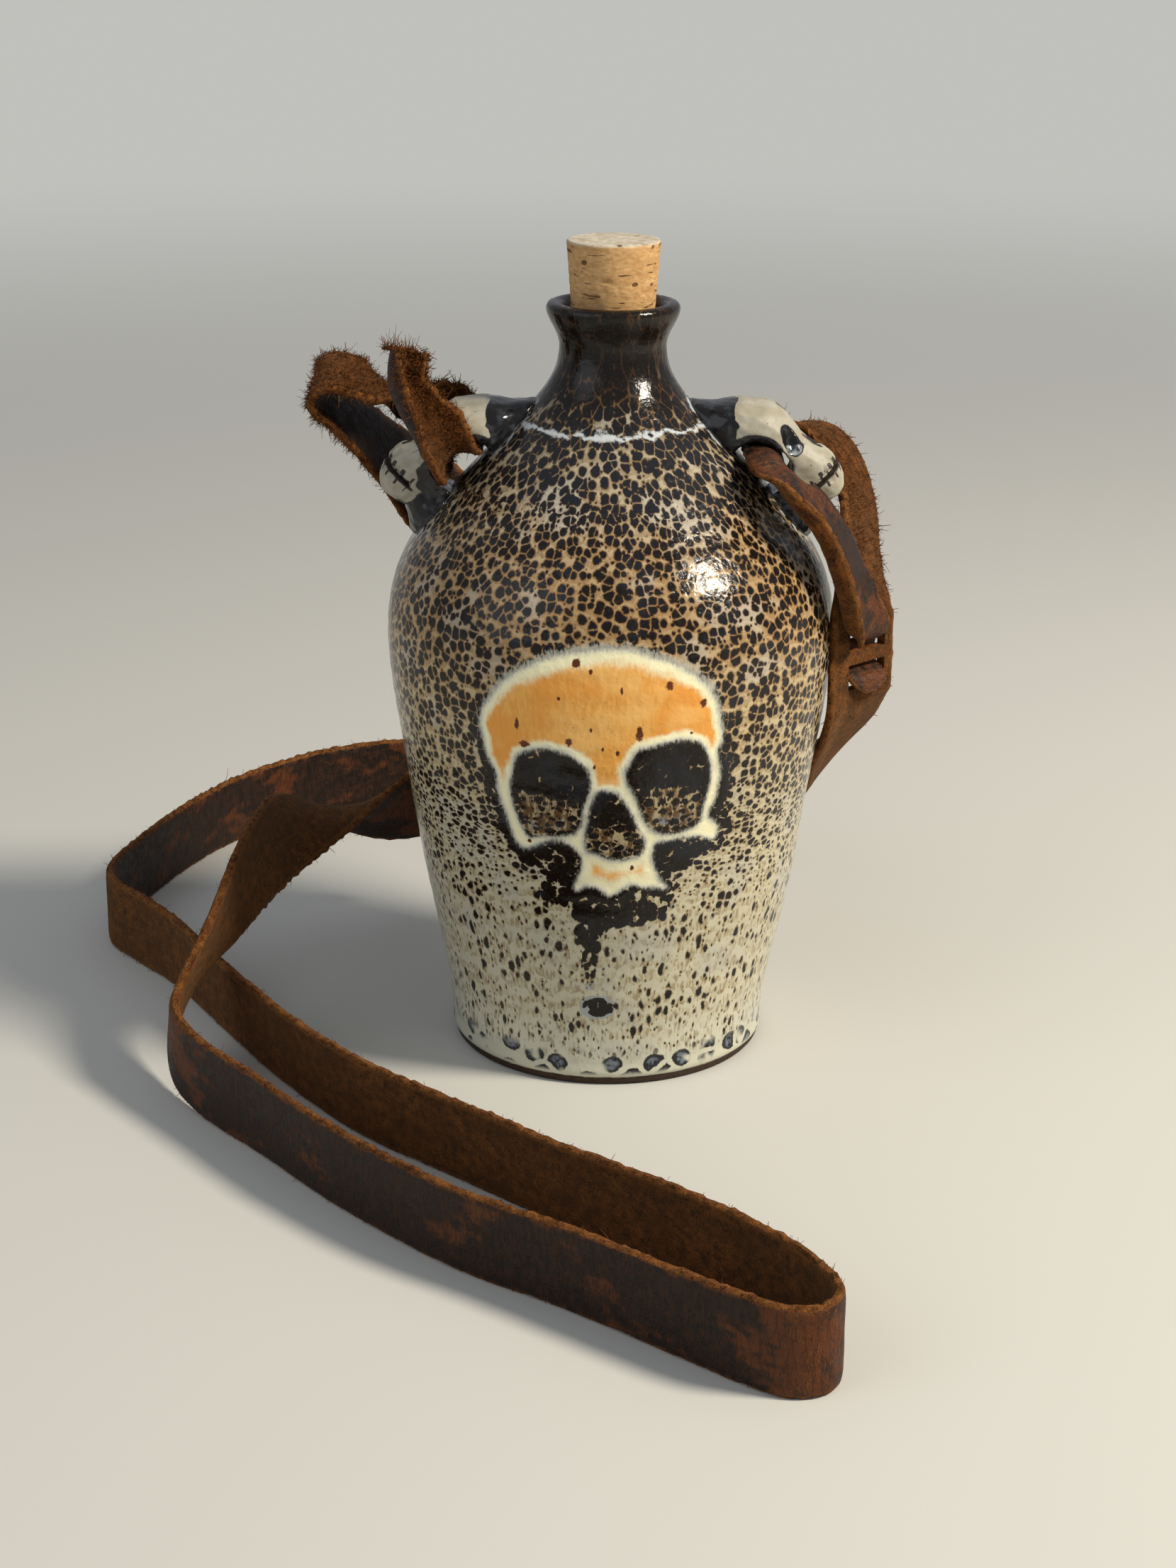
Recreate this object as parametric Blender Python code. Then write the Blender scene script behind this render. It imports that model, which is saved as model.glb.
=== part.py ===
"""Skull canteen: a hollow wheel-thrown stoneware flask with a flared neck, two skull-shaped strap lugs
seated on its shoulder, a tapered cork and one long leather strap. Metres, +Z up, the base centre at the
origin and the front toward -Y."""
import math

import bmesh
import bpy
from mathutils import Vector

# Unit and fineness
MM = 0.001
TURN_SIDES = 48
CORK_SIDES = 32
MERGE_DISTANCE = 0.02 * MM
SHARP_ANGLE = math.radians(35.0)

# Flask sizes
FLASK_HEIGHT = 194.6 * MM
BODY_RADIUS = 57.1 * MM
FOOT_RADIUS = 41.1 * MM
FOOT_HEIGHT = 6.0 * MM
FOOT_BEVEL = 0.9 * MM
NECK_RADIUS = 13.4 * MM
LIP_HEIGHT = 10.6 * MM
NECK_LEVEL = FLASK_HEIGHT - LIP_HEIGHT
SHOULDER_HEIGHT = 74.0 * MM
BODY_LEVEL = NECK_LEVEL - SHOULDER_HEIGHT
RIM_RADIUS = 16.7 * MM
MOUTH_RADIUS = 12.6 * MM
BORE_RADIUS = 10.3 * MM
WALL = 5.0 * MM
FLOOR = 6.0 * MM

# Flask outline: shares of the rise from one level to the next and of the change in radius with it
BELLY_SHARES = [
    (0.08, 0.05), (0.17, 0.16), (0.29, 0.31), (0.42, 0.48), (0.56, 0.62), (0.70, 0.76), (0.83, 0.90),
    (0.92, 0.97), (1.0, 1.0),
]
SHOULDER_SHARES = [
    (0.095, 0.993), (0.19, 0.963), (0.285, 0.899), (0.38, 0.794), (0.475, 0.66), (0.57, 0.519),
    (0.65, 0.394), (0.716, 0.284), (0.784, 0.175), (0.84, 0.10), (0.892, 0.043), (0.946, 0.010), (1.0, 0.0),
]
LIP_SHARES = [(0.28, 0.25), (0.54, 0.68), (0.73, 0.94), (0.88, 1.0), (0.97, 0.80)]
MOUTH_SHARES = [(0.96, 0.12), (0.80, 0.0)]
CREST_RADIUS_SHARE = 0.5
BORE_TOP_SHARE = 0.28
BORE_LOW_SHARE = 0.90
FLOOR_CORNER_SHARES = [(0.0, 0.72), (0.10, 0.88), (0.38, 0.97)]

# Cork sizes
CORK_LENGTH = 31.2 * MM
CORK_PROUD = 15.2 * MM
CORK_CLEARANCE = 0.35 * MM
CORK_CHAMFER = 0.9 * MM
CORK_TAPER_SHARE = 0.077

# Lug sizes: the length runs down the shoulder from the neck, the rise stands square to the shoulder
LUG_LENGTH = 41.2 * MM
LUG_RISE = 17.9 * MM
LUG_WIDTH = 22.8 * MM
LUG_SINK = 4.0 * MM
LUG_TOP_SHARE = 0.795
LUG_LOW_SHARE = 0.43
SEAT_GAP = 0.3 * MM
TUNNEL_WIDTH = 15.4 * MM
TUNNEL_RISE = 9.5 * MM
TUNNEL_START_SHARE = 0.345
CUT_OVERRUN = 9.0 * MM
EYE_LENGTH = 9.0 * MM
EYE_WIDTH = 5.4 * MM
EYE_DEPTH = 3.4 * MM
EYE_TILT = -27.0
NOSE_LENGTH = 5.2 * MM
NOSE_WIDTH = 3.4 * MM
NOSE_DEPTH = 2.3 * MM
NOSE_TILT = 8.0
MOUTH_GAP = 1.1 * MM
MOUTH_DEPTH = 1.2 * MM
TOOTH_GAP = 1.1 * MM
TOOTH_LENGTH = 5.8 * MM
TOOTH_TURNS = (-62.0, -31.0, 0.0, 31.0, 62.0)

# Lug outline: shares of the length, of the rise and of half the width
LUG_SHARES = [
    # along, top, half width, widest level, low level, half width low down
    (-0.07, -0.02, 0.30, -0.10, -1.0, 0.30),
    (0.0, 0.09, 0.43, -0.03, -1.0, 0.43),
    (0.07, 0.25, 0.57, 0.06, -1.0, 0.56),
    (0.17, 0.59, 0.80, 0.25, -1.0, 0.70),
    (0.30, 0.84, 0.97, 0.39, -1.0, 0.79),
    (0.41, 0.89, 1.0, 0.50, -1.0, 0.75),
    (0.50, 0.88, 0.96, 0.55, -1.0, 0.70),
    (0.57, 0.865, 0.85, 0.57, -1.0, 0.67),
    (0.655, 0.905, 0.76, 0.60, -1.0, 0.65),
    (0.73, 0.975, 0.72, 0.615, -1.0, 0.63),
    (0.80, 1.0, 0.69, 0.625, -1.0, 0.61),
    (0.875, 0.98, 0.675, 0.65, -0.8, 0.56),
    (0.937, 0.915, 0.62, 0.67, 0.08, 0.37),
    (0.98, 0.85, 0.49, 0.68, 0.46, 0.40),
    (1.0, 0.77, 0.26, 0.69, 0.60, 0.21),
]
TUNNEL_SHARES = [(0.03, 0.0), (0.0, 0.27), (0.08, 0.65), (0.29, 0.88), (0.57, 1.0), (0.81, 0.97),
                 (0.95, 0.76), (1.0, 0.40), (1.0, 0.0)]
FOOT_SHARES = [
    # rise, start and end along the lug, half width
    (-0.28, 0.69, 1.10, 0.82), (-0.03, 0.69, 1.10, 0.82), (0.07, 0.70, 1.075, 0.78),
    (0.19, 0.71, 1.03, 0.71), (0.39, 0.72, 0.98, 0.63), (0.53, 0.72, 0.965, 0.60),
]
EYE_PLACE_SHARES = (0.51, 0.745, 0.895)
NOSE_PLACE_SHARES = (0.638, 0.955)
MOUTH_PLACE_SHARES = (0.845, 0.59)
TOOTH_RING_SHARES = (0.41, 0.67)

# Strap sizes
STRAP_WIDTH = 20.0 * MM
STRAP_THICKNESS = 2.6 * MM
TIP_THICKNESS = 1.6 * MM
STRAP_STEP = 8.0 * MM
STRAP_COLUMN_SHARES = (-1.0, -0.67, 0.0, 0.67, 1.0)
EDGE_ROUND_SHARE = 0.32
CURL_CENTRE_SHARE = 0.45

# Strap route in millimetres, from the pointed end to the frayed one: place, the way the suede side faces,
# the share of the full width, and the curl across the width in degrees; a last word marks an open slot
ROUTE = [
    ((66.9, -7.8, 96.2), (-0.68, 0.73, 0.0), 0.24, 0.0),
    ((66.8, -7.7, 98.2), (-0.68, 0.73, -0.02), 0.52, 0.0),
    ((65.6, -6.5, 100.2), (-0.50, 0.54, -0.67), 0.58, 0.0),
    ((63.5, -4.2, 102.3), (-0.50, 0.54, -0.67), 0.58, 0.0),
    ((63.0, -3.7, 105.4), (-0.68, 0.73, 0.0), 0.58, 0.0),
    ((63.5, -4.2, 108.5), (-0.50, 0.54, 0.67), 0.58, 0.0),
    ((65.6, -6.5, 110.6), (-0.50, 0.54, 0.67), 0.58, 0.0),
    ((66.0, -8.7, 113.6), (-0.70, 0.71, 0.0), 0.61, 0.0),
    ((63.2, -12.2, 117.6), (-0.80, 0.58, -0.10), 0.66, 0.0),
    ((60.8, -14.7, 122.8), (-0.88, 0.44, -0.14), 0.70, 0.0),
    ((59.1, -17.2, 128.0), (-0.91, 0.37, -0.16), 0.70, 0.0),
    ((56.5, -20.0, 134.8), (-0.91, 0.36, -0.18), 0.70, 0.0),
    ((53.3, -22.4, 141.4), (-0.89, 0.37, -0.25), 0.71, 0.0),
    ((49.8, -23.8, 147.0), (-0.83, 0.38, -0.40), 0.75, 6.0),
    ((45.2, -23.2, 151.6), (-0.68, 0.38, -0.64), 0.82, 24.0),
    ((41.2, -19.4, 154.8), (-0.58, 0.25, -0.77), 0.84, 52.0),
    ((39.4, -13.2, 156.2), (-0.67, 0.0, -0.74), 0.80, 74.0),
    ((39.1, -6.5, 156.3), (-0.67, 0.0, -0.74), 0.80, 80.0),
    ((39.1, 6.5, 156.3), (-0.67, 0.0, -0.74), 0.80, 80.0),
    ((39.3, 13.0, 156.5), (-0.68, 0.10, -0.72), 0.80, 74.0),
    ((39.7, 18.8, 157.4), (-0.70, 0.35, -0.62), 0.86, 52.0),
    ((41.2, 23.4, 160.0), (-0.85, 0.50, 0.03), 0.94, 26.0),
    ((44.8, 25.8, 162.0), (-0.62, 0.30, 0.72), 1.0, 8.0),
    ((50.0, 26.0, 162.2), (0.02, -0.06, 0.97), 1.0, 0.0),
    ((55.2, 25.4, 159.8), (0.50, -0.14, 0.85), 1.0, 0.0),
    ((59.4, 24.6, 155.2), (0.70, -0.26, 0.66), 1.0, 0.0),
    ((61.6, 21.4, 149.6), (0.80, -0.36, 0.48), 1.0, 0.0),
    ((63.3, 17.6, 143.4), (0.84, -0.42, 0.34), 1.0, 0.0),
    ((64.1, 12.8, 138.4), (0.85, -0.48, 0.20), 1.0, 0.0),
    ((64.4, 7.2, 133.4), (0.84, -0.52, 0.12), 1.0, 0.0),
    ((64.5, 1.6, 128.6), (0.80, -0.58, 0.06), 1.0, 0.0),
    ((64.6, -2.6, 123.8), (0.74, -0.66, 0.02), 1.0, 0.0),
    ((64.8, -5.4, 119.2), (0.68, -0.73, 0.0), 1.0, 0.0),
    ((64.8, -5.6, 113.6), (0.68, -0.73, 0.0), 1.0, 0.0, "slot"),
    ((64.8, -5.6, 107.0), (0.68, -0.73, 0.0), 1.0, 0.0),
    ((64.8, -5.6, 103.8), (0.68, -0.73, 0.0), 1.0, 0.0, "slot"),
    ((64.8, -5.6, 97.2), (0.68, -0.73, 0.0), 1.0, 0.0),
    ((64.7, -5.0, 93.6), (0.66, -0.74, -0.10), 1.0, 0.0),
    ((64.2, -2.2, 89.4), (0.62, -0.68, -0.38), 1.0, 0.0),
    ((62.8, 6.0, 82.4), (0.62, -0.50, -0.60), 1.0, 0.0),
    ((61.2, 21.0, 71.8), (0.68, -0.34, -0.65), 1.0, 0.0),
    ((58.8, 42.0, 59.6), (0.80, -0.05, -0.60), 1.0, 0.0),
    ((52.0, 72.0, 43.6), (0.92, 0.20, -0.34), 1.0, 0.0),
    ((38.5, 108.0, 26.4), (0.86, 0.50, -0.10), 1.0, 0.0),
    ((8.0, 146.0, 14.6), (0.58, 0.81, 0.0), 1.0, 0.0),
    ((-30.0, 170.0, 11.2), (0.34, 0.94, 0.0), 1.0, 0.0),
    ((-62.0, 177.6, 10.9), (0.10, 0.99, 0.06), 1.0, 0.0),
    ((-91.0, 165.8, 10.9), (-0.48, 0.87, 0.06), 1.0, 0.0),
    ((-115.0, 140.0, 10.9), (-0.76, 0.64, 0.06), 1.0, 0.0),
    ((-129.5, 110.5, 10.9), (-0.92, 0.38, 0.06), 1.0, 0.0),
    ((-139.0, 80.5, 10.9), (-0.98, 0.22, 0.04), 1.0, 0.0),
    ((-143.0, 61.0, 10.9), (-0.99, 0.05, 0.0), 1.0, 0.0),
    ((-140.6, 50.0, 10.9), (-0.88, -0.46, 0.0), 1.0, 0.0),
    ((-134.6, 42.0, 10.9), (-0.78, -0.62, 0.0), 1.0, 0.0),
    ((-119.0, 21.6, 10.9), (-0.82, -0.57, -0.05), 1.0, 0.0),
    ((-105.5, -2.6, 10.9), (-0.86, -0.51, -0.08), 1.0, 0.0),
    ((-92.0, -26.0, 10.9), (-0.86, -0.51, -0.08), 1.0, 0.0),
    ((-78.0, -48.2, 10.9), (-0.81, -0.58, -0.08), 1.0, 0.0),
    ((-60.0, -71.6, 10.9), (-0.73, -0.68, -0.08), 1.0, 0.0),
    ((-37.0, -92.8, 10.9), (-0.67, -0.74, -0.08), 1.0, 0.0),
    ((-9.7, -117.6, 10.9), (-0.68, -0.73, -0.06), 1.0, 0.0),
    ((15.6, -138.4, 10.9), (-0.66, -0.75, -0.04), 1.0, 0.0),
    ((33.5, -156.4, 10.9), (-0.78, -0.62, 0.0), 1.0, 0.0),
    ((44.2, -171.6, 10.9), (-0.90, -0.44, 0.0), 1.0, 0.0),
    ((48.2, -182.0, 10.9), (-0.98, 0.15, 0.0), 1.0, 0.0),
    ((45.2, -190.0, 10.9), (-0.60, 0.80, 0.0), 1.0, 0.0),
    ((36.5, -191.6, 10.9), (0.28, 0.96, 0.0), 1.0, 0.0),
    ((20.5, -180.0, 10.9), (0.60, 0.80, 0.04), 1.0, 0.0),
    ((-9.0, -156.0, 10.9), (0.57, 0.82, 0.08), 1.0, 0.0),
    ((-35.0, -137.6, 10.9), (0.60, 0.79, 0.08), 1.0, 0.0),
    ((-62.6, -109.4, 10.9), (0.74, 0.66, 0.08), 1.0, 0.0),
    ((-85.5, -80.0, 10.9), (0.78, 0.62, 0.06), 1.0, 0.0),
    ((-101.5, -60.4, 11.2), (0.80, 0.60, 0.0), 1.0, 0.0),
    ((-109.8, -46.6, 13.4), (0.92, 0.38, 0.0), 1.0, 0.0),
    ((-111.0, -36.5, 18.6), (0.99, 0.05, 0.0), 1.0, 0.0),
    ((-106.6, -30.0, 27.0), (0.94, -0.10, -0.30), 1.0, 0.0),
    ((-101.0, -23.0, 34.6), (0.94, -0.20, -0.20), 1.0, 0.0),
    ((-97.0, -11.0, 40.0), (0.96, -0.22, 0.10), 1.0, 0.0),
    ((-93.6, 5.0, 42.4), (0.95, -0.20, 0.22), 1.0, 0.0),
    ((-89.6, 24.0, 43.0), (0.84, -0.30, 0.45), 1.0, 0.0),
    ((-84.4, 43.0, 42.0), (0.45, -0.38, 0.80), 1.0, 0.0),
    ((-77.4, 58.5, 39.0), (0.0, 0.10, 0.99), 1.0, 0.0),
    ((-69.6, 68.0, 35.5), (-0.38, 0.62, 0.60), 1.0, 0.0),
    ((-60.5, 73.5, 33.5), (-0.30, 0.93, 0.20), 1.0, 0.0),
    ((-51.0, 75.5, 36.5), (-0.05, 0.99, 0.0), 1.0, 0.0),
    ((-43.4, 74.0, 45.5), (0.0, 0.98, 0.17), 1.0, 0.0),
    ((-39.8, 68.5, 60.0), (-0.05, 0.95, 0.30), 1.0, 0.0),
    ((-37.2, 65.0, 78.0), (-0.06, 0.94, 0.32), 1.0, 0.0),
    ((-34.4, 60.8, 95.0), (-0.10, 0.92, 0.36), 1.0, 0.0),
    ((-34.4, 55.0, 109.0), (-0.20, 0.88, 0.42), 1.0, 0.0),
    ((-38.0, 48.4, 120.6), (-0.36, 0.82, 0.42), 1.0, 0.0),
    ((-44.2, 41.4, 131.2), (-0.56, 0.76, 0.20), 1.0, 0.0),
    ((-51.2, 34.6, 140.4), (-0.70, 0.62, -0.12), 1.0, 0.0),
    ((-58.2, 28.2, 149.0), (-0.76, 0.42, -0.42), 1.0, 0.0),
    ((-65.4, 22.8, 157.6), (-0.77, 0.30, -0.54), 1.0, 0.0),
    ((-71.8, 18.8, 164.8), (-0.80, 0.24, -0.54), 1.0, 0.0),
    ((-75.2, 16.6, 168.8), (-0.92, 0.14, -0.20), 1.0, 0.0),
    ((-75.2, 15.4, 171.2), (-0.86, -0.10, 0.50), 1.0, 0.0),
    ((-72.6, 14.8, 173.2), (-0.25, -0.24, 0.93), 1.0, 0.0),
    ((-68.0, 15.2, 172.8), (0.16, -0.26, 0.95), 1.0, 0.0),
    ((-62.0, 16.4, 170.4), (0.26, -0.24, 0.93), 1.0, 0.0),
    ((-55.2, 19.8, 167.8), (0.28, 0.30, 0.90), 1.0, 0.0),
    ((-49.4, 24.0, 164.8), (0.22, 0.80, 0.56), 1.0, 0.0),
    ((-44.4, 26.0, 161.4), (0.60, 0.76, 0.14), 1.0, 8.0),
    ((-41.0, 23.6, 158.8), (0.84, 0.30, -0.30), 0.94, 26.0),
    ((-39.7, 18.8, 157.2), (0.76, 0.10, -0.60), 0.86, 52.0),
    ((-39.3, 13.0, 156.5), (0.69, 0.0, -0.72), 0.80, 74.0),
    ((-39.1, 6.5, 156.3), (0.67, 0.0, -0.74), 0.80, 80.0),
    ((-39.1, -6.5, 156.3), (0.67, 0.0, -0.74), 0.80, 80.0),
    ((-39.5, -12.6, 156.8), (0.68, -0.12, -0.72), 0.78, 74.0),
    ((-40.9, -15.6, 159.6), (0.78, -0.40, -0.42), 0.84, 66.0),
    ((-43.2, -16.8, 163.8), (0.84, -0.48, -0.10), 0.96, 56.0),
    ((-46.2, -17.2, 167.6), (0.92, -0.36, 0.10), 0.97, 66.0),
    ((-49.1, -17.4, 172.2), (0.94, -0.30, 0.18), 0.95, 74.0),
    ((-51.2, -17.2, 176.8), (0.94, -0.30, 0.22), 0.86, 82.0),
    ((-51.2, -16.8, 181.0), (0.88, -0.42, 0.26), 0.84, 78.0),
    ((-50.8, -16.2, 184.6), (0.84, -0.48, 0.28), 0.74, 66.0),
]


def cleared_scene():
    for ob in list(bpy.data.objects):
        bpy.data.objects.remove(ob, do_unlink=True)


def material(name, colour, roughness, metallic=0.0):
    mat = bpy.data.materials.new(name)
    mat.use_nodes = True
    shader = mat.node_tree.nodes["Principled BSDF"]
    shader.inputs["Base Color"].default_value = (*colour, 1.0)
    shader.inputs["Roughness"].default_value = roughness
    shader.inputs["Metallic"].default_value = metallic
    return mat


def cleaned(ob, triangles=False):
    """Merge stray points and turn the faces outward."""
    bm = bmesh.new()
    bm.from_mesh(ob.data)
    bmesh.ops.remove_doubles(bm, verts=bm.verts, dist=MERGE_DISTANCE)
    if triangles:
        bmesh.ops.dissolve_degenerate(bm, edges=bm.edges, dist=0.5 * MERGE_DISTANCE)
        bmesh.ops.triangulate(bm, faces=bm.faces)
    bmesh.ops.recalc_face_normals(bm, faces=bm.faces)
    bm.to_mesh(ob.data)
    bm.free()
    ob.data.shade_smooth()
    ob.data.set_sharp_from_angle(angle=SHARP_ANGLE)
    return ob


def solid(name, points, faces, mat=None):
    """A named object from points and faces, a cutter where it has no material."""
    mesh = bpy.data.meshes.new(name)
    mesh.from_pydata(points, [], faces)
    ob = bpy.data.objects.new(name, mesh)
    bpy.context.scene.collection.objects.link(ob)
    if mat:
        ob.data.materials.append(mat)
    else:
        ob.hide_render = True
        ob.display_type = "WIRE"
    return cleaned(ob)


def combine(ob, other, operation):
    """Join ob with a cutter, or cut it, and keep only ob."""
    mod = ob.modifiers.new(other.name, "BOOLEAN")
    mod.operation = operation
    mod.object = other
    deps = bpy.context.evaluated_depsgraph_get()
    mesh = bpy.data.meshes.new_from_object(ob.evaluated_get(deps))
    ob.modifiers.clear()
    ob.data = mesh
    bpy.data.objects.remove(other, do_unlink=True)


def joined_rings(rings, faces):
    """Square faces between each ring of point numbers and the next, all rings of one length."""
    for lower, upper in zip(rings, rings[1:]):
        for k in range(len(lower)):
            m = (k + 1) % len(lower)
            faces.append((lower[k], lower[m], upper[m], upper[k]))


def revolved(name, profile, sides, mat=None):
    """A closed solid turned from (height, radius) points, with a flat face at either end."""
    points = []
    rings = []
    for z, r in profile:
        rings.append([len(points) + k for k in range(sides)])
        for k in range(sides):
            a = 2.0 * math.pi * k / sides
            points.append((r * math.cos(a), r * math.sin(a), z))
    faces = [tuple(rings[0]), tuple(rings[-1])]
    joined_rings(rings, faces)
    return solid(name, points, faces, mat)


# Flask
def between(a, b, share):
    return a + (b - a) * share


def flask_outline():
    """The outer outline from the foot to the lip, as (height, radius)."""
    points = [(0.0, FOOT_RADIUS - FOOT_BEVEL), (FOOT_BEVEL, FOOT_RADIUS), (FOOT_HEIGHT, FOOT_RADIUS)]
    for up, out in BELLY_SHARES:
        points.append((between(FOOT_HEIGHT, BODY_LEVEL, up), between(FOOT_RADIUS, BODY_RADIUS, out)))
    for up, out in SHOULDER_SHARES:
        points.append((between(BODY_LEVEL, NECK_LEVEL, up), between(NECK_RADIUS, BODY_RADIUS, out)))
    for up, out in LIP_SHARES:
        points.append((between(NECK_LEVEL, FLASK_HEIGHT, up), between(NECK_RADIUS, RIM_RADIUS, out)))
    return points


def radius_at(outline, level):
    """The outline's radius at a height."""
    for (z0, r0), (z1, r1) in zip(outline, outline[1:]):
        if z0 <= level <= z1:
            return between(r0, r1, (level - z0) / (z1 - z0))
    return outline[-1][1]


def inner_outline(outline):
    """The mouth, the bore and the hollow, from the crest down to the floor."""
    crest = between(MOUTH_RADIUS, RIM_RADIUS, CREST_RADIUS_SHARE)
    points = [(FLASK_HEIGHT, crest)]
    for up, out in MOUTH_SHARES:
        points.append((between(NECK_LEVEL, FLASK_HEIGHT, up), between(MOUTH_RADIUS, crest, out)))
    bore_top = between(NECK_LEVEL, FLASK_HEIGHT, BORE_TOP_SHARE)
    bore_low = between(BODY_LEVEL, NECK_LEVEL, BORE_LOW_SHARE)
    points.append((bore_top, BORE_RADIUS))
    points.append((bore_low, BORE_RADIUS))
    hollow = []
    for i in range(1, len(outline) - 1):
        z, r = outline[i]
        if not FLOOR + WALL < z < bore_low:
            continue
        rise = outline[i + 1][0] - outline[i - 1][0]
        run = outline[i + 1][1] - outline[i - 1][1]
        size = math.hypot(rise, run)
        inner = (z + WALL * run / size, r - WALL * rise / size)
        if inner[0] < bore_low and inner[1] > BORE_RADIUS:
            hollow.append(inner)
    points += reversed(hollow)
    low = hollow[0]
    for up, out in reversed(FLOOR_CORNER_SHARES):
        points.append((between(FLOOR, low[0], up), low[1] * out))
    return points


def build_flask(mat):
    outline = flask_outline()
    return revolved("bottle", outline + inner_outline(outline), TURN_SIDES, mat)


# Cork
def build_cork(mat):
    top = FLASK_HEIGHT + CORK_PROUD
    bottom = top - CORK_LENGTH
    bore_top = between(NECK_LEVEL, FLASK_HEIGHT, BORE_TOP_SHARE)

    def radius(level):
        return BORE_RADIUS - CORK_CLEARANCE + CORK_TAPER_SHARE * (level - bore_top)

    profile = [
        (bottom, radius(bottom) - CORK_CHAMFER),
        (bottom + CORK_CHAMFER, radius(bottom + CORK_CHAMFER)),
        (bore_top, radius(bore_top)),
        (top - CORK_CHAMFER, radius(top - CORK_CHAMFER)),
        (top, radius(top) - CORK_CHAMFER),
    ]
    return revolved("cork", profile, CORK_SIDES, mat)


# Skull lugs, one on either shoulder
def shoulder_frame(side):
    """The lug's place: a function from (along, rise, across) to a point on that side of the flask."""
    outline = flask_outline()
    top = between(BODY_LEVEL, NECK_LEVEL, LUG_TOP_SHARE)
    low = between(BODY_LEVEL, NECK_LEVEL, LUG_LOW_SHARE)
    start = radius_at(outline, top)
    slope = math.atan2(top - low, radius_at(outline, low) - start)

    def place(along, rise, across):
        x = start + along * math.cos(slope) + rise * math.sin(slope)
        z = top - along * math.sin(slope) + rise * math.cos(slope)
        return (side * x, across, z)

    return place


def lofted(name, sections, place, mat=None):
    """A closed solid through rings given as lists of (along, rise, across)."""
    points = []
    rings = []
    for section in sections:
        rings.append([len(points) + k for k in range(len(section))])
        points += [place(*corner) for corner in section]
    faces = [tuple(rings[0]), tuple(rings[-1])]
    joined_rings(rings, faces)
    return solid(name, points, faces, mat)


def skull_ring(along, top, half, mid, low, low_half):
    """A ring across the lug: a rounded head over sides that draw in toward the shoulder."""
    ring = []
    steps = 8
    for k in range(steps + 1):
        a = math.pi * k / steps
        ring.append((along, mid + (top - mid) * math.sin(a) ** 0.85, half * math.cos(a)))
    sides = ((0.3, 0.22), (0.65, 0.72), (1.0, 1.0))
    for down, draw in sides:
        ring.append((along, between(mid, low, down), -between(half, low_half, draw)))
    for down, draw in reversed(sides):
        ring.append((along, between(mid, low, down), between(half, low_half, draw)))
    return ring


def egg(name, centre, turn, reach, narrow, place):
    """An egg-shaped cutter about centre, its long axis turned in the plane of along and rise."""
    points = []
    rings = []
    levels = 9
    sides = 14
    for i in range(1, levels):
        b = math.pi * i / levels
        rings.append([len(points) + k for k in range(sides)])
        for k in range(sides):
            a = 2.0 * math.pi * k / sides
            u = -math.cos(b)
            v = math.sin(b) * math.cos(a) * (1.0 - narrow * (0.5 - 0.5 * u))
            along = centre[0] + reach[0] * u * math.cos(turn) - reach[1] * v * math.sin(turn)
            rise = centre[1] + reach[0] * u * math.sin(turn) + reach[1] * v * math.cos(turn)
            points.append(place(along, rise, centre[2] + reach[2] * math.sin(b) * math.sin(a)))
    faces = [tuple(rings[0]), tuple(rings[-1])]
    joined_rings(rings, faces)
    return solid(name, points, faces)


def mouth_cutter(place):
    """An arched groove over the jaw."""
    along = MOUTH_PLACE_SHARES[0] * LUG_LENGTH
    centre = MOUTH_PLACE_SHARES[1] * LUG_RISE
    outer = TOOTH_RING_SHARES[1] * 0.5 * LUG_WIDTH + MOUTH_DEPTH
    inner = outer - 3.0 * MOUTH_DEPTH
    arc = [math.radians(a) for a in range(-104, 105, 26)]
    sections = []
    for place_along in (along - 0.5 * MOUTH_GAP, along + 0.5 * MOUTH_GAP):
        ring = [(place_along, centre + outer * math.cos(a), outer * math.sin(a)) for a in arc]
        ring += [(place_along, centre + inner * math.cos(a), inner * math.sin(a)) for a in reversed(arc)]
        sections.append(ring)
    return lofted("mouth_cutter", sections, place)


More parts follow.
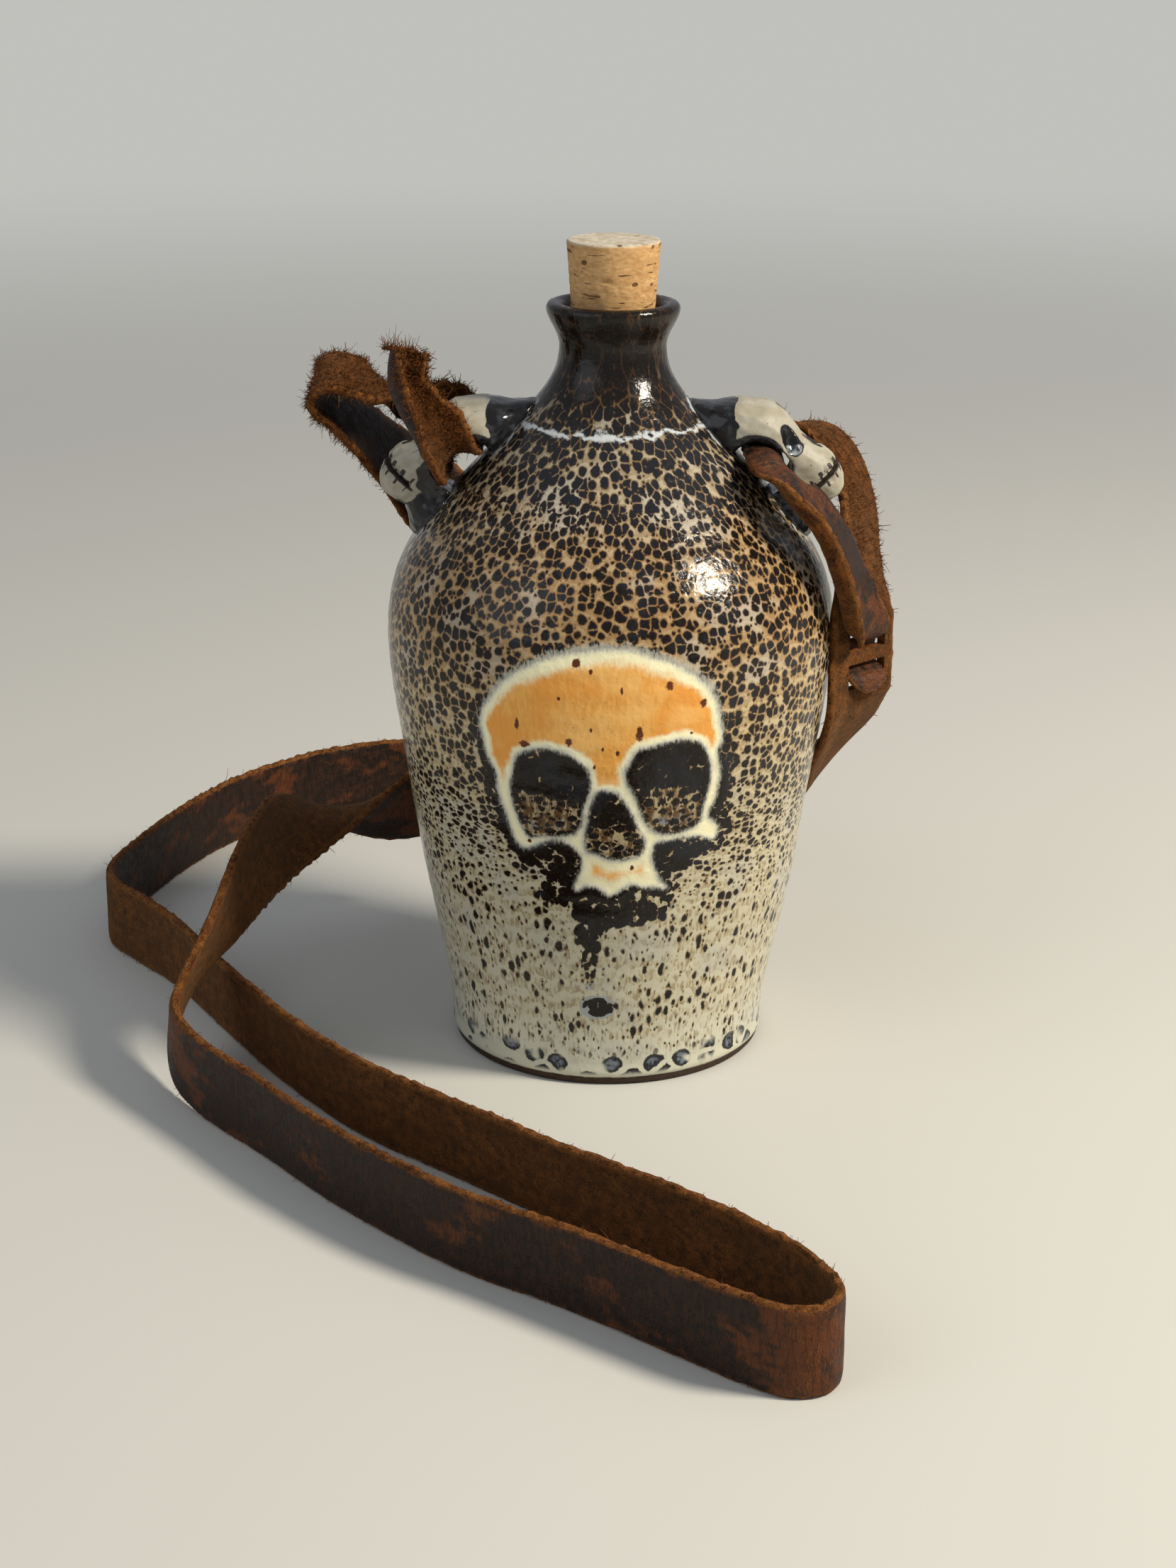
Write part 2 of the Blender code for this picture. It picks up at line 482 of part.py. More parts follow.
def build_lug(name, side, mat):
    place = shoulder_frame(side)
    half_width = 0.5 * LUG_WIDTH
    sections = []
    for along, top, half, mid, low, low_half in LUG_SHARES:
        lowest = low * (LUG_SINK if low < 0.0 else LUG_RISE)
        sections.append(skull_ring(along * LUG_LENGTH, top * LUG_RISE, half * half_width,
                                   mid * LUG_RISE, lowest, low_half * half_width))
    lug = lofted(name, sections, place, mat)

    # The flared foot under the jaw
    foot = []
    for rise, start, end, wide in FOOT_SHARES:
        middle = 0.5 * (start + end) * LUG_LENGTH
        reach = 0.5 * (end - start) * LUG_LENGTH
        turns = [2.0 * math.pi * k / 16 for k in range(16)]
        foot.append([(middle + reach * math.cos(a), rise * LUG_RISE, wide * half_width * math.sin(a))
                     for a in turns])
    combine(lug, lofted("foot_solid", foot, place), "UNION")

    # The tunnel that the strap runs through, front to back
    tunnel = []
    for across in (-half_width - CUT_OVERRUN, half_width + CUT_OVERRUN):
        ring = []
        for out, up in TUNNEL_SHARES:
            along = TUNNEL_START_SHARE * LUG_LENGTH + out * TUNNEL_WIDTH
            rise = up * TUNNEL_RISE if up > 0.0 else -CUT_OVERRUN
            ring.append((along, rise, across))
        tunnel.append(ring)
    combine(lug, lofted("tunnel_cutter", tunnel, place), "DIFFERENCE")

    # Eye sockets, narrow toward the crown, and the nose
    eye = [EYE_PLACE_SHARES[0] * LUG_LENGTH, EYE_PLACE_SHARES[1] * LUG_RISE]
    for across in (-EYE_PLACE_SHARES[2] * half_width, EYE_PLACE_SHARES[2] * half_width):
        reach = (0.5 * EYE_LENGTH, 0.5 * EYE_WIDTH, EYE_DEPTH)
        cutter = egg("eye_cutter", (*eye, across), math.radians(EYE_TILT), reach, 0.4, place)
        combine(lug, cutter, "DIFFERENCE")
    nose = (NOSE_PLACE_SHARES[0] * LUG_LENGTH, NOSE_PLACE_SHARES[1] * LUG_RISE, 0.0)
    reach = (0.5 * NOSE_LENGTH, NOSE_DEPTH, 0.5 * NOSE_WIDTH)
    combine(lug, egg("nose_cutter", nose, math.radians(NOSE_TILT), reach, 0.3, place), "DIFFERENCE")

    # The mouth and the gaps between the teeth
    combine(lug, mouth_cutter(place), "DIFFERENCE")
    for turn in TOOTH_TURNS:
        a = math.radians(turn)
        centre = (MOUTH_PLACE_SHARES[0] * LUG_LENGTH,
                  MOUTH_PLACE_SHARES[1] * LUG_RISE + TOOTH_RING_SHARES[0] * LUG_RISE * math.cos(a),
                  TOOTH_RING_SHARES[1] * half_width * math.sin(a))
        reach = (0.5 * TOOTH_LENGTH, 1.3 * MOUTH_DEPTH, 0.5 * TOOTH_GAP)
        combine(lug, egg("tooth_cutter", centre, 0.0, reach, 0.0, place), "DIFFERENCE")

    # The seat on the shoulder
    seat = [(z, r + SEAT_GAP) for z, r in flask_outline()]
    combine(lug, revolved("seat_cutter", seat, TURN_SIDES), "DIFFERENCE")
    return cleaned(lug, triangles=True)


# Strap
def spline(a, b, c, d, t):
    """A smooth curve through four points, read between the second and the third."""
    return 0.5 * ((2.0 * b) + (c - a) * t + (2.0 * a - 5.0 * b + 4.0 * c - d) * t * t
                  + (3.0 * b - 3.0 * c + d - a) * t * t * t)


def route_rows():
    """The strap's centre line at even steps: place, suede direction, width share, curl and slot."""
    pos = [Vector(row[0]) * MM for row in ROUTE]
    rows = []
    for i in range(len(ROUTE) - 1):
        this = ROUTE[i]
        then = ROUTE[i + 1]
        slot = len(this) > 4
        parts = 1 if slot else max(1, round((pos[i + 1] - pos[i]).length / STRAP_STEP))
        for j in range(parts):
            t = j / parts
            place = spline(pos[max(i - 1, 0)], pos[i], pos[i + 1], pos[min(i + 2, len(pos) - 1)], t)
            suede = Vector(this[1]).normalized().lerp(Vector(then[1]).normalized(), t)
            rows.append((place, suede, between(this[2], then[2], t), between(this[3], then[3], t), slot))
    rows.append((pos[-1], Vector(ROUTE[-1][1]), ROUTE[-1][2], ROUTE[-1][3], False))
    return rows


def strap_section(place, along, suede, half, thick, curl):
    """The points across the strap: its suede side, its grain side and its two edges."""
    normal = (suede - along * suede.dot(along)).normalized()
    across = along.cross(normal)
    tops = []
    lows = []
    edges = []
    for column in STRAP_COLUMN_SHARES:
        centre = place + across * (column * half)
        out = normal
        if curl:
            radius = half / curl
            turn = column * curl
            lift = radius * (1.0 - math.cos(turn)) - CURL_CENTRE_SHARE * radius * (1.0 - math.cos(curl))
            centre = place + across * (radius * math.sin(turn)) + normal * lift
            out = normal * math.cos(turn) - across * math.sin(turn)
        tops.append(centre + out * (0.5 * thick))
        lows.append(centre - out * (0.5 * thick))
        if abs(column) == 1.0:
            edges.append(centre + along.cross(out) * (column * EDGE_ROUND_SHARE * thick))
    return tops, lows, edges


def build_strap(mat):
    rows = route_rows()
    count = len(STRAP_COLUMN_SHARES)
    points = []
    tops = []
    lows = []
    edges = []
    for i, (place, suede, share, curl, slot) in enumerate(rows):
        back = i if slot else max(i - 1, 0)
        fore = i if rows[max(i - 1, 0)][4] else min(i + 1, len(rows) - 1)
        along = (rows[fore][0] - rows[back][0]).normalized()
        thick = between(TIP_THICKNESS, STRAP_THICKNESS, min(1.0, max(0.0, 3.0 * share - 2.0)))
        section = strap_section(place, along, suede, 0.5 * STRAP_WIDTH * share, thick, math.radians(curl))
        for numbers, part in zip((tops, lows, edges), section):
            numbers.append([len(points) + k for k in range(len(part))])
            points += part

    def slotted(i, k):
        return rows[i][4] and 0 < k < count - 2

    faces = []
    last = len(rows) - 1
    for i in range(last):
        n = i + 1
        for k in range(count - 1):
            m = k + 1
            if not slotted(i, k):
                faces.append((tops[i][k], tops[n][k], tops[n][m], tops[i][m]))
                faces.append((lows[i][k], lows[i][m], lows[n][m], lows[n][k]))
                continue
            faces.append((tops[i][k], tops[i][m], lows[i][m], lows[i][k]))
            faces.append((tops[n][k], tops[n][m], lows[n][m], lows[n][k]))
            if not slotted(i, k - 1):
                faces.append((tops[i][k], tops[n][k], lows[n][k], lows[i][k]))
            if not slotted(i, k + 1):
                faces.append((tops[i][m], tops[n][m], lows[n][m], lows[i][m]))
        for column, edge in ((0, 0), (count - 1, 1)):
            faces.append((tops[i][column], edges[i][edge], edges[n][edge], tops[n][column]))
            faces.append((edges[i][edge], lows[i][column], lows[n][column], edges[n][edge]))
    for i in (0, last):
        for k in range(count - 1):
            faces.append((tops[i][k], tops[i][k + 1], lows[i][k + 1], lows[i][k]))
        faces.append((tops[i][0], lows[i][0], edges[i][0]))
        faces.append((tops[i][count - 1], edges[i][1], lows[i][count - 1]))
    return solid("strap", points, faces, mat)


def build():
    cleared_scene()
    build_flask(material("speckled_glaze", (0.30, 0.24, 0.17), 0.22))
    bone = material("bone_bisque", (0.66, 0.60, 0.47), 0.55)
    build_lug("lug_skull_left", -1.0, bone)
    build_lug("lug_skull_right", 1.0, bone)
    build_cork(material("cork_bark", (0.46, 0.29, 0.16), 0.85))
    build_strap(material("brown_leather", (0.13, 0.06, 0.035), 0.6))


build()
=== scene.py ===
"""Skull canteen, the looks: thrown stoneware under a running speckled glaze, two modelled skull lugs with a
dark gloss in their hollows, a bark-side cork and a long leather strap, grain on one side and suede on the
other. Metres, +Z up, the front toward -Y."""
import math

import bmesh
import bpy
import numpy as np
from mathutils import Matrix, Vector
from mathutils.bvhtree import BVHTree


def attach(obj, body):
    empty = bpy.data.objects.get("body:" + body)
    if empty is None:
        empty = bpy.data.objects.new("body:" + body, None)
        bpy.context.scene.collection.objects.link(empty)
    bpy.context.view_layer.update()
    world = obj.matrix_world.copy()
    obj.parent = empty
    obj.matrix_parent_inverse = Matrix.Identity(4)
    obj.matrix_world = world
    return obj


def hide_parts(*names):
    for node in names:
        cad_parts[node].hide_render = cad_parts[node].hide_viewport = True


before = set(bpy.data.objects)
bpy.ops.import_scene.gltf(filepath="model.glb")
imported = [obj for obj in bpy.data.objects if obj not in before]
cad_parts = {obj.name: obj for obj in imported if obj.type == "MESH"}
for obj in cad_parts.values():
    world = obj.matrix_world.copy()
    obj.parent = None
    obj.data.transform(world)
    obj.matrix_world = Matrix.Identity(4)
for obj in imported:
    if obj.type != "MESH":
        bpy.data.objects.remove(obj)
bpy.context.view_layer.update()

MM = 0.001

# Camera: where the photograph was taken from
CAMERA_PLACE = (-5.5 * MM, -702.8 * MM, 311.8 * MM)
CAMERA_PITCH = math.radians(19.15)
CAMERA_ROLL = math.radians(0.37)
CAMERA_LENS = 65.1
CAMERA_SENSOR = 36.0

# Light: one warm window high on the right, a wide cool fill and a pale room
LIGHT_CENTRE = (0.0, 0.0, 110.0 * MM)
KEY_TURN = math.radians(67.0)
KEY_RISE = math.radians(41.0)
KEY_DISTANCE = 1300.0 * MM
KEY_SIZE = 300.0 * MM
KEY_POWER = 20.5
KEY_COLOUR = (1.0, 0.91, 0.77)
FILL_TURN = math.radians(-55.0)
FILL_RISE = math.radians(28.0)
FILL_DISTANCE = 1500.0 * MM
FILL_SIZE = 1300.0 * MM
FILL_POWER = 3.8
FILL_COLOUR = (0.86, 0.93, 1.0)
ROOM_COLOUR = (0.90, 0.93, 1.0)
ROOM_STRENGTH = 0.36
FLOOR_SIZE = 40.0
FLOOR_COLOUR = (0.60, 0.595, 0.55)
FAR_COLOUR = (0.53, 0.53, 0.505)


# Numbers
def mixed(a, b, share):
    return a + (b - a) * share


def eased(value, low, high):
    """A smooth step from 0 to 1 as value goes from low to high."""
    t = np.clip((value - low) / (high - low), 0.0, 1.0)
    return t * t * (3.0 - 2.0 * t)


def unit(vectors):
    """Each row divided by its length."""
    size = np.linalg.norm(vectors, axis=-1, keepdims=True)
    return vectors / np.maximum(size, 1e-12)


def between(a, b, c, d, t):
    """A Catmull-Rom curve: the place at share t of the way from b to c, with a before them and d after."""
    return 0.5 * (2.0 * b + (c - a) * t + (2.0 * a - 5.0 * b + 4.0 * c - d) * t ** 2
                  + (3.0 * b - 3.0 * c + d - a) * t ** 3)


def smooth_line(points, counts):
    """The curve through the points' rows, with counts[i] steps from row i to the next."""
    points = np.asarray(points, float)
    padded = np.vstack([points[:1], points, points[-1:]])
    segment = np.repeat(np.arange(len(counts)), counts)
    step = np.concatenate([np.arange(n) / n for n in counts])
    line = between(*(padded[segment + k] for k in range(4)), step[:, None])
    return np.vstack([line, points[-1:]])


def smooth_counts(points, step):
    """How many steps of about one length lie between each row of the points and the next."""
    gap = np.linalg.norm(np.diff(np.asarray(points, float), axis=0), axis=1)
    return np.maximum(1, np.round(gap / step).astype(int))


def run_along(points):
    """The length of the way from the first row to each row."""
    return np.append(0.0, np.cumsum(np.linalg.norm(np.diff(points, axis=0), axis=1)))


def ripple(place, seed, size):
    """Smooth noise from -1 to 1 over points: nine sine waves of about one length, in seeded directions."""
    rng = np.random.default_rng(seed)
    aim = unit(rng.normal(size=(9, 3))) * rng.uniform(0.7, 1.5, (9, 1)) * 2.0 * math.pi / size
    return np.sin(np.asarray(place) @ aim.T + rng.uniform(0.0, 2.0 * math.pi, 9)).sum(axis=-1) / 4.0


# Meshes
def new_object(name, data):
    ob = bpy.data.objects.new(name, data)
    bpy.context.scene.collection.objects.link(ob)
    return ob


def piece(name, points, faces, materials, smooth=True):
    """A named object at the origin from an array of points and a list of arrays of faces."""
    mesh = bpy.data.meshes.new(name)
    mesh.from_pydata(np.reshape(points, (-1, 3)).tolist(), [],
                     [face for part in faces for face in np.asarray(part).tolist()])
    mesh.validate()
    for mat in materials:
        mesh.materials.append(mat)
    if smooth:
        mesh.shade_smooth()
    return new_object(name, mesh)


def grid_faces(rows, columns, around=False):
    """Square faces over a grid of points numbered row by row, closed round its columns if asked."""
    r = np.arange(rows - 1)[:, None]
    c = np.arange(columns if around else columns - 1)[None, :]
    n = (c + 1) % columns
    return np.stack(np.broadcast_arrays(r * columns + c, r * columns + n, (r + 1) * columns + n,
                                        (r + 1) * columns + c), axis=-1).reshape(-1, 4)


def set_values(ob, name, values):
    """Keep one number or one vector for each point of a piece, for its material to read."""
    values = np.asarray(values, np.float32)
    kind, field = ("FLOAT", "value") if values.ndim == 1 else ("FLOAT_VECTOR", "vector")
    layer = ob.data.attributes.new(name, kind, "POINT")
    layer.data.foreach_set(field, values.ravel())


def points_of(ob):
    out = np.empty(len(ob.data.vertices) * 3, np.float32)
    ob.data.vertices.foreach_get("co", out)
    return out.reshape(-1, 3).astype(float)


def set_points(ob, points):
    ob.data.vertices.foreach_set("co", np.asarray(points, np.float32).ravel())
    ob.data.update()


def turned_points(radius, turns, level):
    """Points turned from the front toward the right: x = r sin a, y = -r cos a, z = level."""
    places = (radius * np.sin(turns), -radius * np.cos(turns), level)
    return np.stack(np.broadcast_arrays(*places), axis=-1)


def closed_tube(name, ring, mat):
    """A smooth piece from rows of points round the axis, (rows, sides, 3), with a point closing each end."""
    rows, sides = ring.shape[:2]
    near = np.arange(sides)
    ahead = (near + 1) % sides
    last = (rows - 1) * sides
    pole = np.full(sides, rows * sides)
    low_fan = np.stack([pole, ahead, near], axis=1)
    high_fan = np.stack([pole + 1, last + near, last + ahead], axis=1)
    poles = [[0.0, 0.0, ring[0, 0, 2]], [0.0, 0.0, ring[-1, 0, 2]]]
    points = np.vstack([ring.reshape(-1, 3), poles])
    return piece(name, points, [grid_faces(rows, sides, around=True), low_fan, high_fan], [mat])


# Materials
class Value:
    """An output socket that adds, subtracts and multiplies by putting a Math node into its tree."""

    def __init__(self, shades, socket):
        self.shades = shades
        self.socket = socket

    def __add__(self, other):
        return self.shades.math("ADD", self, other)

    def __radd__(self, other):
        return self.shades.math("ADD", other, self)

    def __sub__(self, other):
        return self.shades.math("SUBTRACT", self, other)

    def __rsub__(self, other):
        return self.shades.math("SUBTRACT", other, self)

    def __mul__(self, other):
        return self.shades.math("MULTIPLY", self, other)


class Made:
    """A node whose outputs are read as values, by their number or name."""

    def __init__(self, shades, node):
        self.shades = shades
        self.node = node

    def __getitem__(self, key):
        return Value(self.shades, self.node.outputs[key])


class Shades:
    """Puts nodes into a material's or a group's tree and joins them."""

    def __init__(self, tree):
        self.tree = tree

    def node(self, kind, inputs, **settings):
        made = self.tree.nodes.new("ShaderNode" + kind)
        for name, value in settings.items():
            setattr(made, name, value)
        self.fill(made, inputs)
        return Made(self, made)

    def fill(self, node, inputs):
        """Give a node its inputs: a value is joined to its socket, and a number or colour is set on it."""
        for key, value in inputs.items():
            if isinstance(value, Value):
                self.tree.links.new(value.socket, node.inputs[key])
            else:
                node.inputs[key].default_value = value

    def math(self, operation, *values):
        return self.node("Math", dict(enumerate(values)), operation=operation)[0]

    def vector_math(self, operation, a, b):
        return self.node("VectorMath", {0: a, 1: b}, operation=operation)[0]

    def most(self, a, b):
        return self.math("MAXIMUM", a, b)

    def least(self, a, b):
        return self.math("MINIMUM", a, b)

    def span(self, value, low, high):
        """A smooth step from 0 at low to 1 at high."""
        keys = {"Value": value, "From Min": low, "From Max": high}
        return self.node("MapRange", keys, interpolation_type="SMOOTHSTEP")[0]

    def blend(self, share, a, b):
        """Colour a turning to colour b."""
        a, b = (colour if isinstance(colour, Value) else (*colour, 1.0) for colour in (a, b))
        return self.node("Mix", {0: share, 6: a, 7: b}, data_type="RGBA")[2]

    def stretch(self, vector, factors):
        return self.vector_math("MULTIPLY", vector, factors)

    def shift(self, vector, other):
        return self.vector_math("ADD", vector, other)

    def noise(self, vector, size, detail=2.0, roughness=0.5):
        """Smooth noise about 0.5, with features of the size given in the vector's own unit."""
        keys = {"Vector": vector, "Scale": 1.0 / size, "Detail": detail, "Roughness": roughness}
        return self.node("TexNoise", keys)[0]

    def wave(self, vector, size, detail=2.0, roughness=0.5):
        """The same noise about 0."""
        return self.noise(vector, size, detail, roughness) - 0.5

    def push(self, vector, size, reach):
        """A small shift that coloured noise gives at each place."""
        made = self.node("TexNoise", {"Vector": vector, "Scale": 1.0 / size, "Detail": 2.0})
        return self.stretch(self.vector_math("SUBTRACT", made[1], (0.5, 0.5, 0.5)), (reach, reach, reach))

    def warp(self, vector, size, reach):
        return self.shift(vector, self.push(vector, size, reach))

    def cells(self, vector, size, feature="F1"):
        return self.node("TexVoronoi", {"Vector": vector, "Scale": 1.0 / size}, feature=feature)

    def parts(self, colour):
        """The red, green and blue of a colour."""
        return self.node("SeparateColor", {0: colour})

    def attribute(self, name):
        return self.node("Attribute", {}, attribute_name=name)["Fac"]

    def vector(self, name):
        return self.node("Attribute", {}, attribute_name=name)["Vector"]

    def millimetres(self):
        """The place on the piece, in millimetres."""
        return self.stretch(self.node("TexCoord", {})["Object"], (1000.0, 1000.0, 1000.0))

    def bump(self, height, strength, distance):
        return self.node("Bump", {"Height": height, "Strength": strength, "Distance": distance})[0]

    def group(self, name, inputs):
        """A copy of a node group with its inputs filled."""
        made = self.tree.nodes.new("ShaderNodeGroup")
        made.node_tree = bpy.data.node_groups[name]
        self.fill(made, inputs)
        return Made(self, made)


def new_group(name, inputs, outputs):
    """An empty shader node group: a Shades on it, its inputs as values, and its output node."""
    tree = bpy.data.node_groups.new(name, "ShaderNodeTree")
    for key, value in inputs.items():
        kind = "NodeSocketVector" if value is None else "NodeSocketFloat"
        socket = tree.interface.new_socket(key, in_out="INPUT", socket_type=kind)
        if value is not None:
            socket.default_value = value
    for key in outputs:
        tree.interface.new_socket(key, in_out="OUTPUT", socket_type="NodeSocketFloat")
    s = Shades(tree)
    return s, Made(s, tree.nodes.new("NodeGroupInput")), tree.nodes.new("NodeGroupOutput")


def new_material(name):
    """A named material, its Principled shader and a Shades on it."""
    mat = bpy.data.materials.new(name)
    mat.use_nodes = True
    return mat, mat.node_tree.nodes["Principled BSDF"], Shades(mat.node_tree)


# Strap: one leather strap, 20 mm wide and 2.6 mm thick, grain on one side and suede on the other
STRAP_WIDTH = 20.0 * MM
STRAP_THICKNESS = 2.6 * MM
TIP_THICKNESS = 1.6 * MM
STRAP_STEP = 1.5 * MM
STRAP_COLUMNS = (-1.0, -0.93, -0.82, -0.67, -0.51, -0.35, -0.17, 0.0, 0.17, 0.27, 0.35, 0.43, 0.51, 0.59,
                 0.67, 0.75, 0.82, 0.93, 1.0)
SLOT_COLUMNS = (3, 14)
MIDDLE_COLUMN = 7
FOLD_TURN = math.radians(112.0)
FOLD_RADIUS = 1.5 * MM
FOLD_WIDTH = 4.8 * MM
FOLD_SHIFT = 0.5 * MM
FOLD_SHARE = 0.21
SAG = 3.3 * MM
FRONT_SAG = 0.55
FLARE = 2.8 * MM
CURL_CENTRE_SHARE = 0.45
EDGE_SHARES = ((0.38, 0.28), (-0.38, 0.28))
SUEDE_FACE = 0
GRAIN_FACE = 1
EDGE_FACE = 2

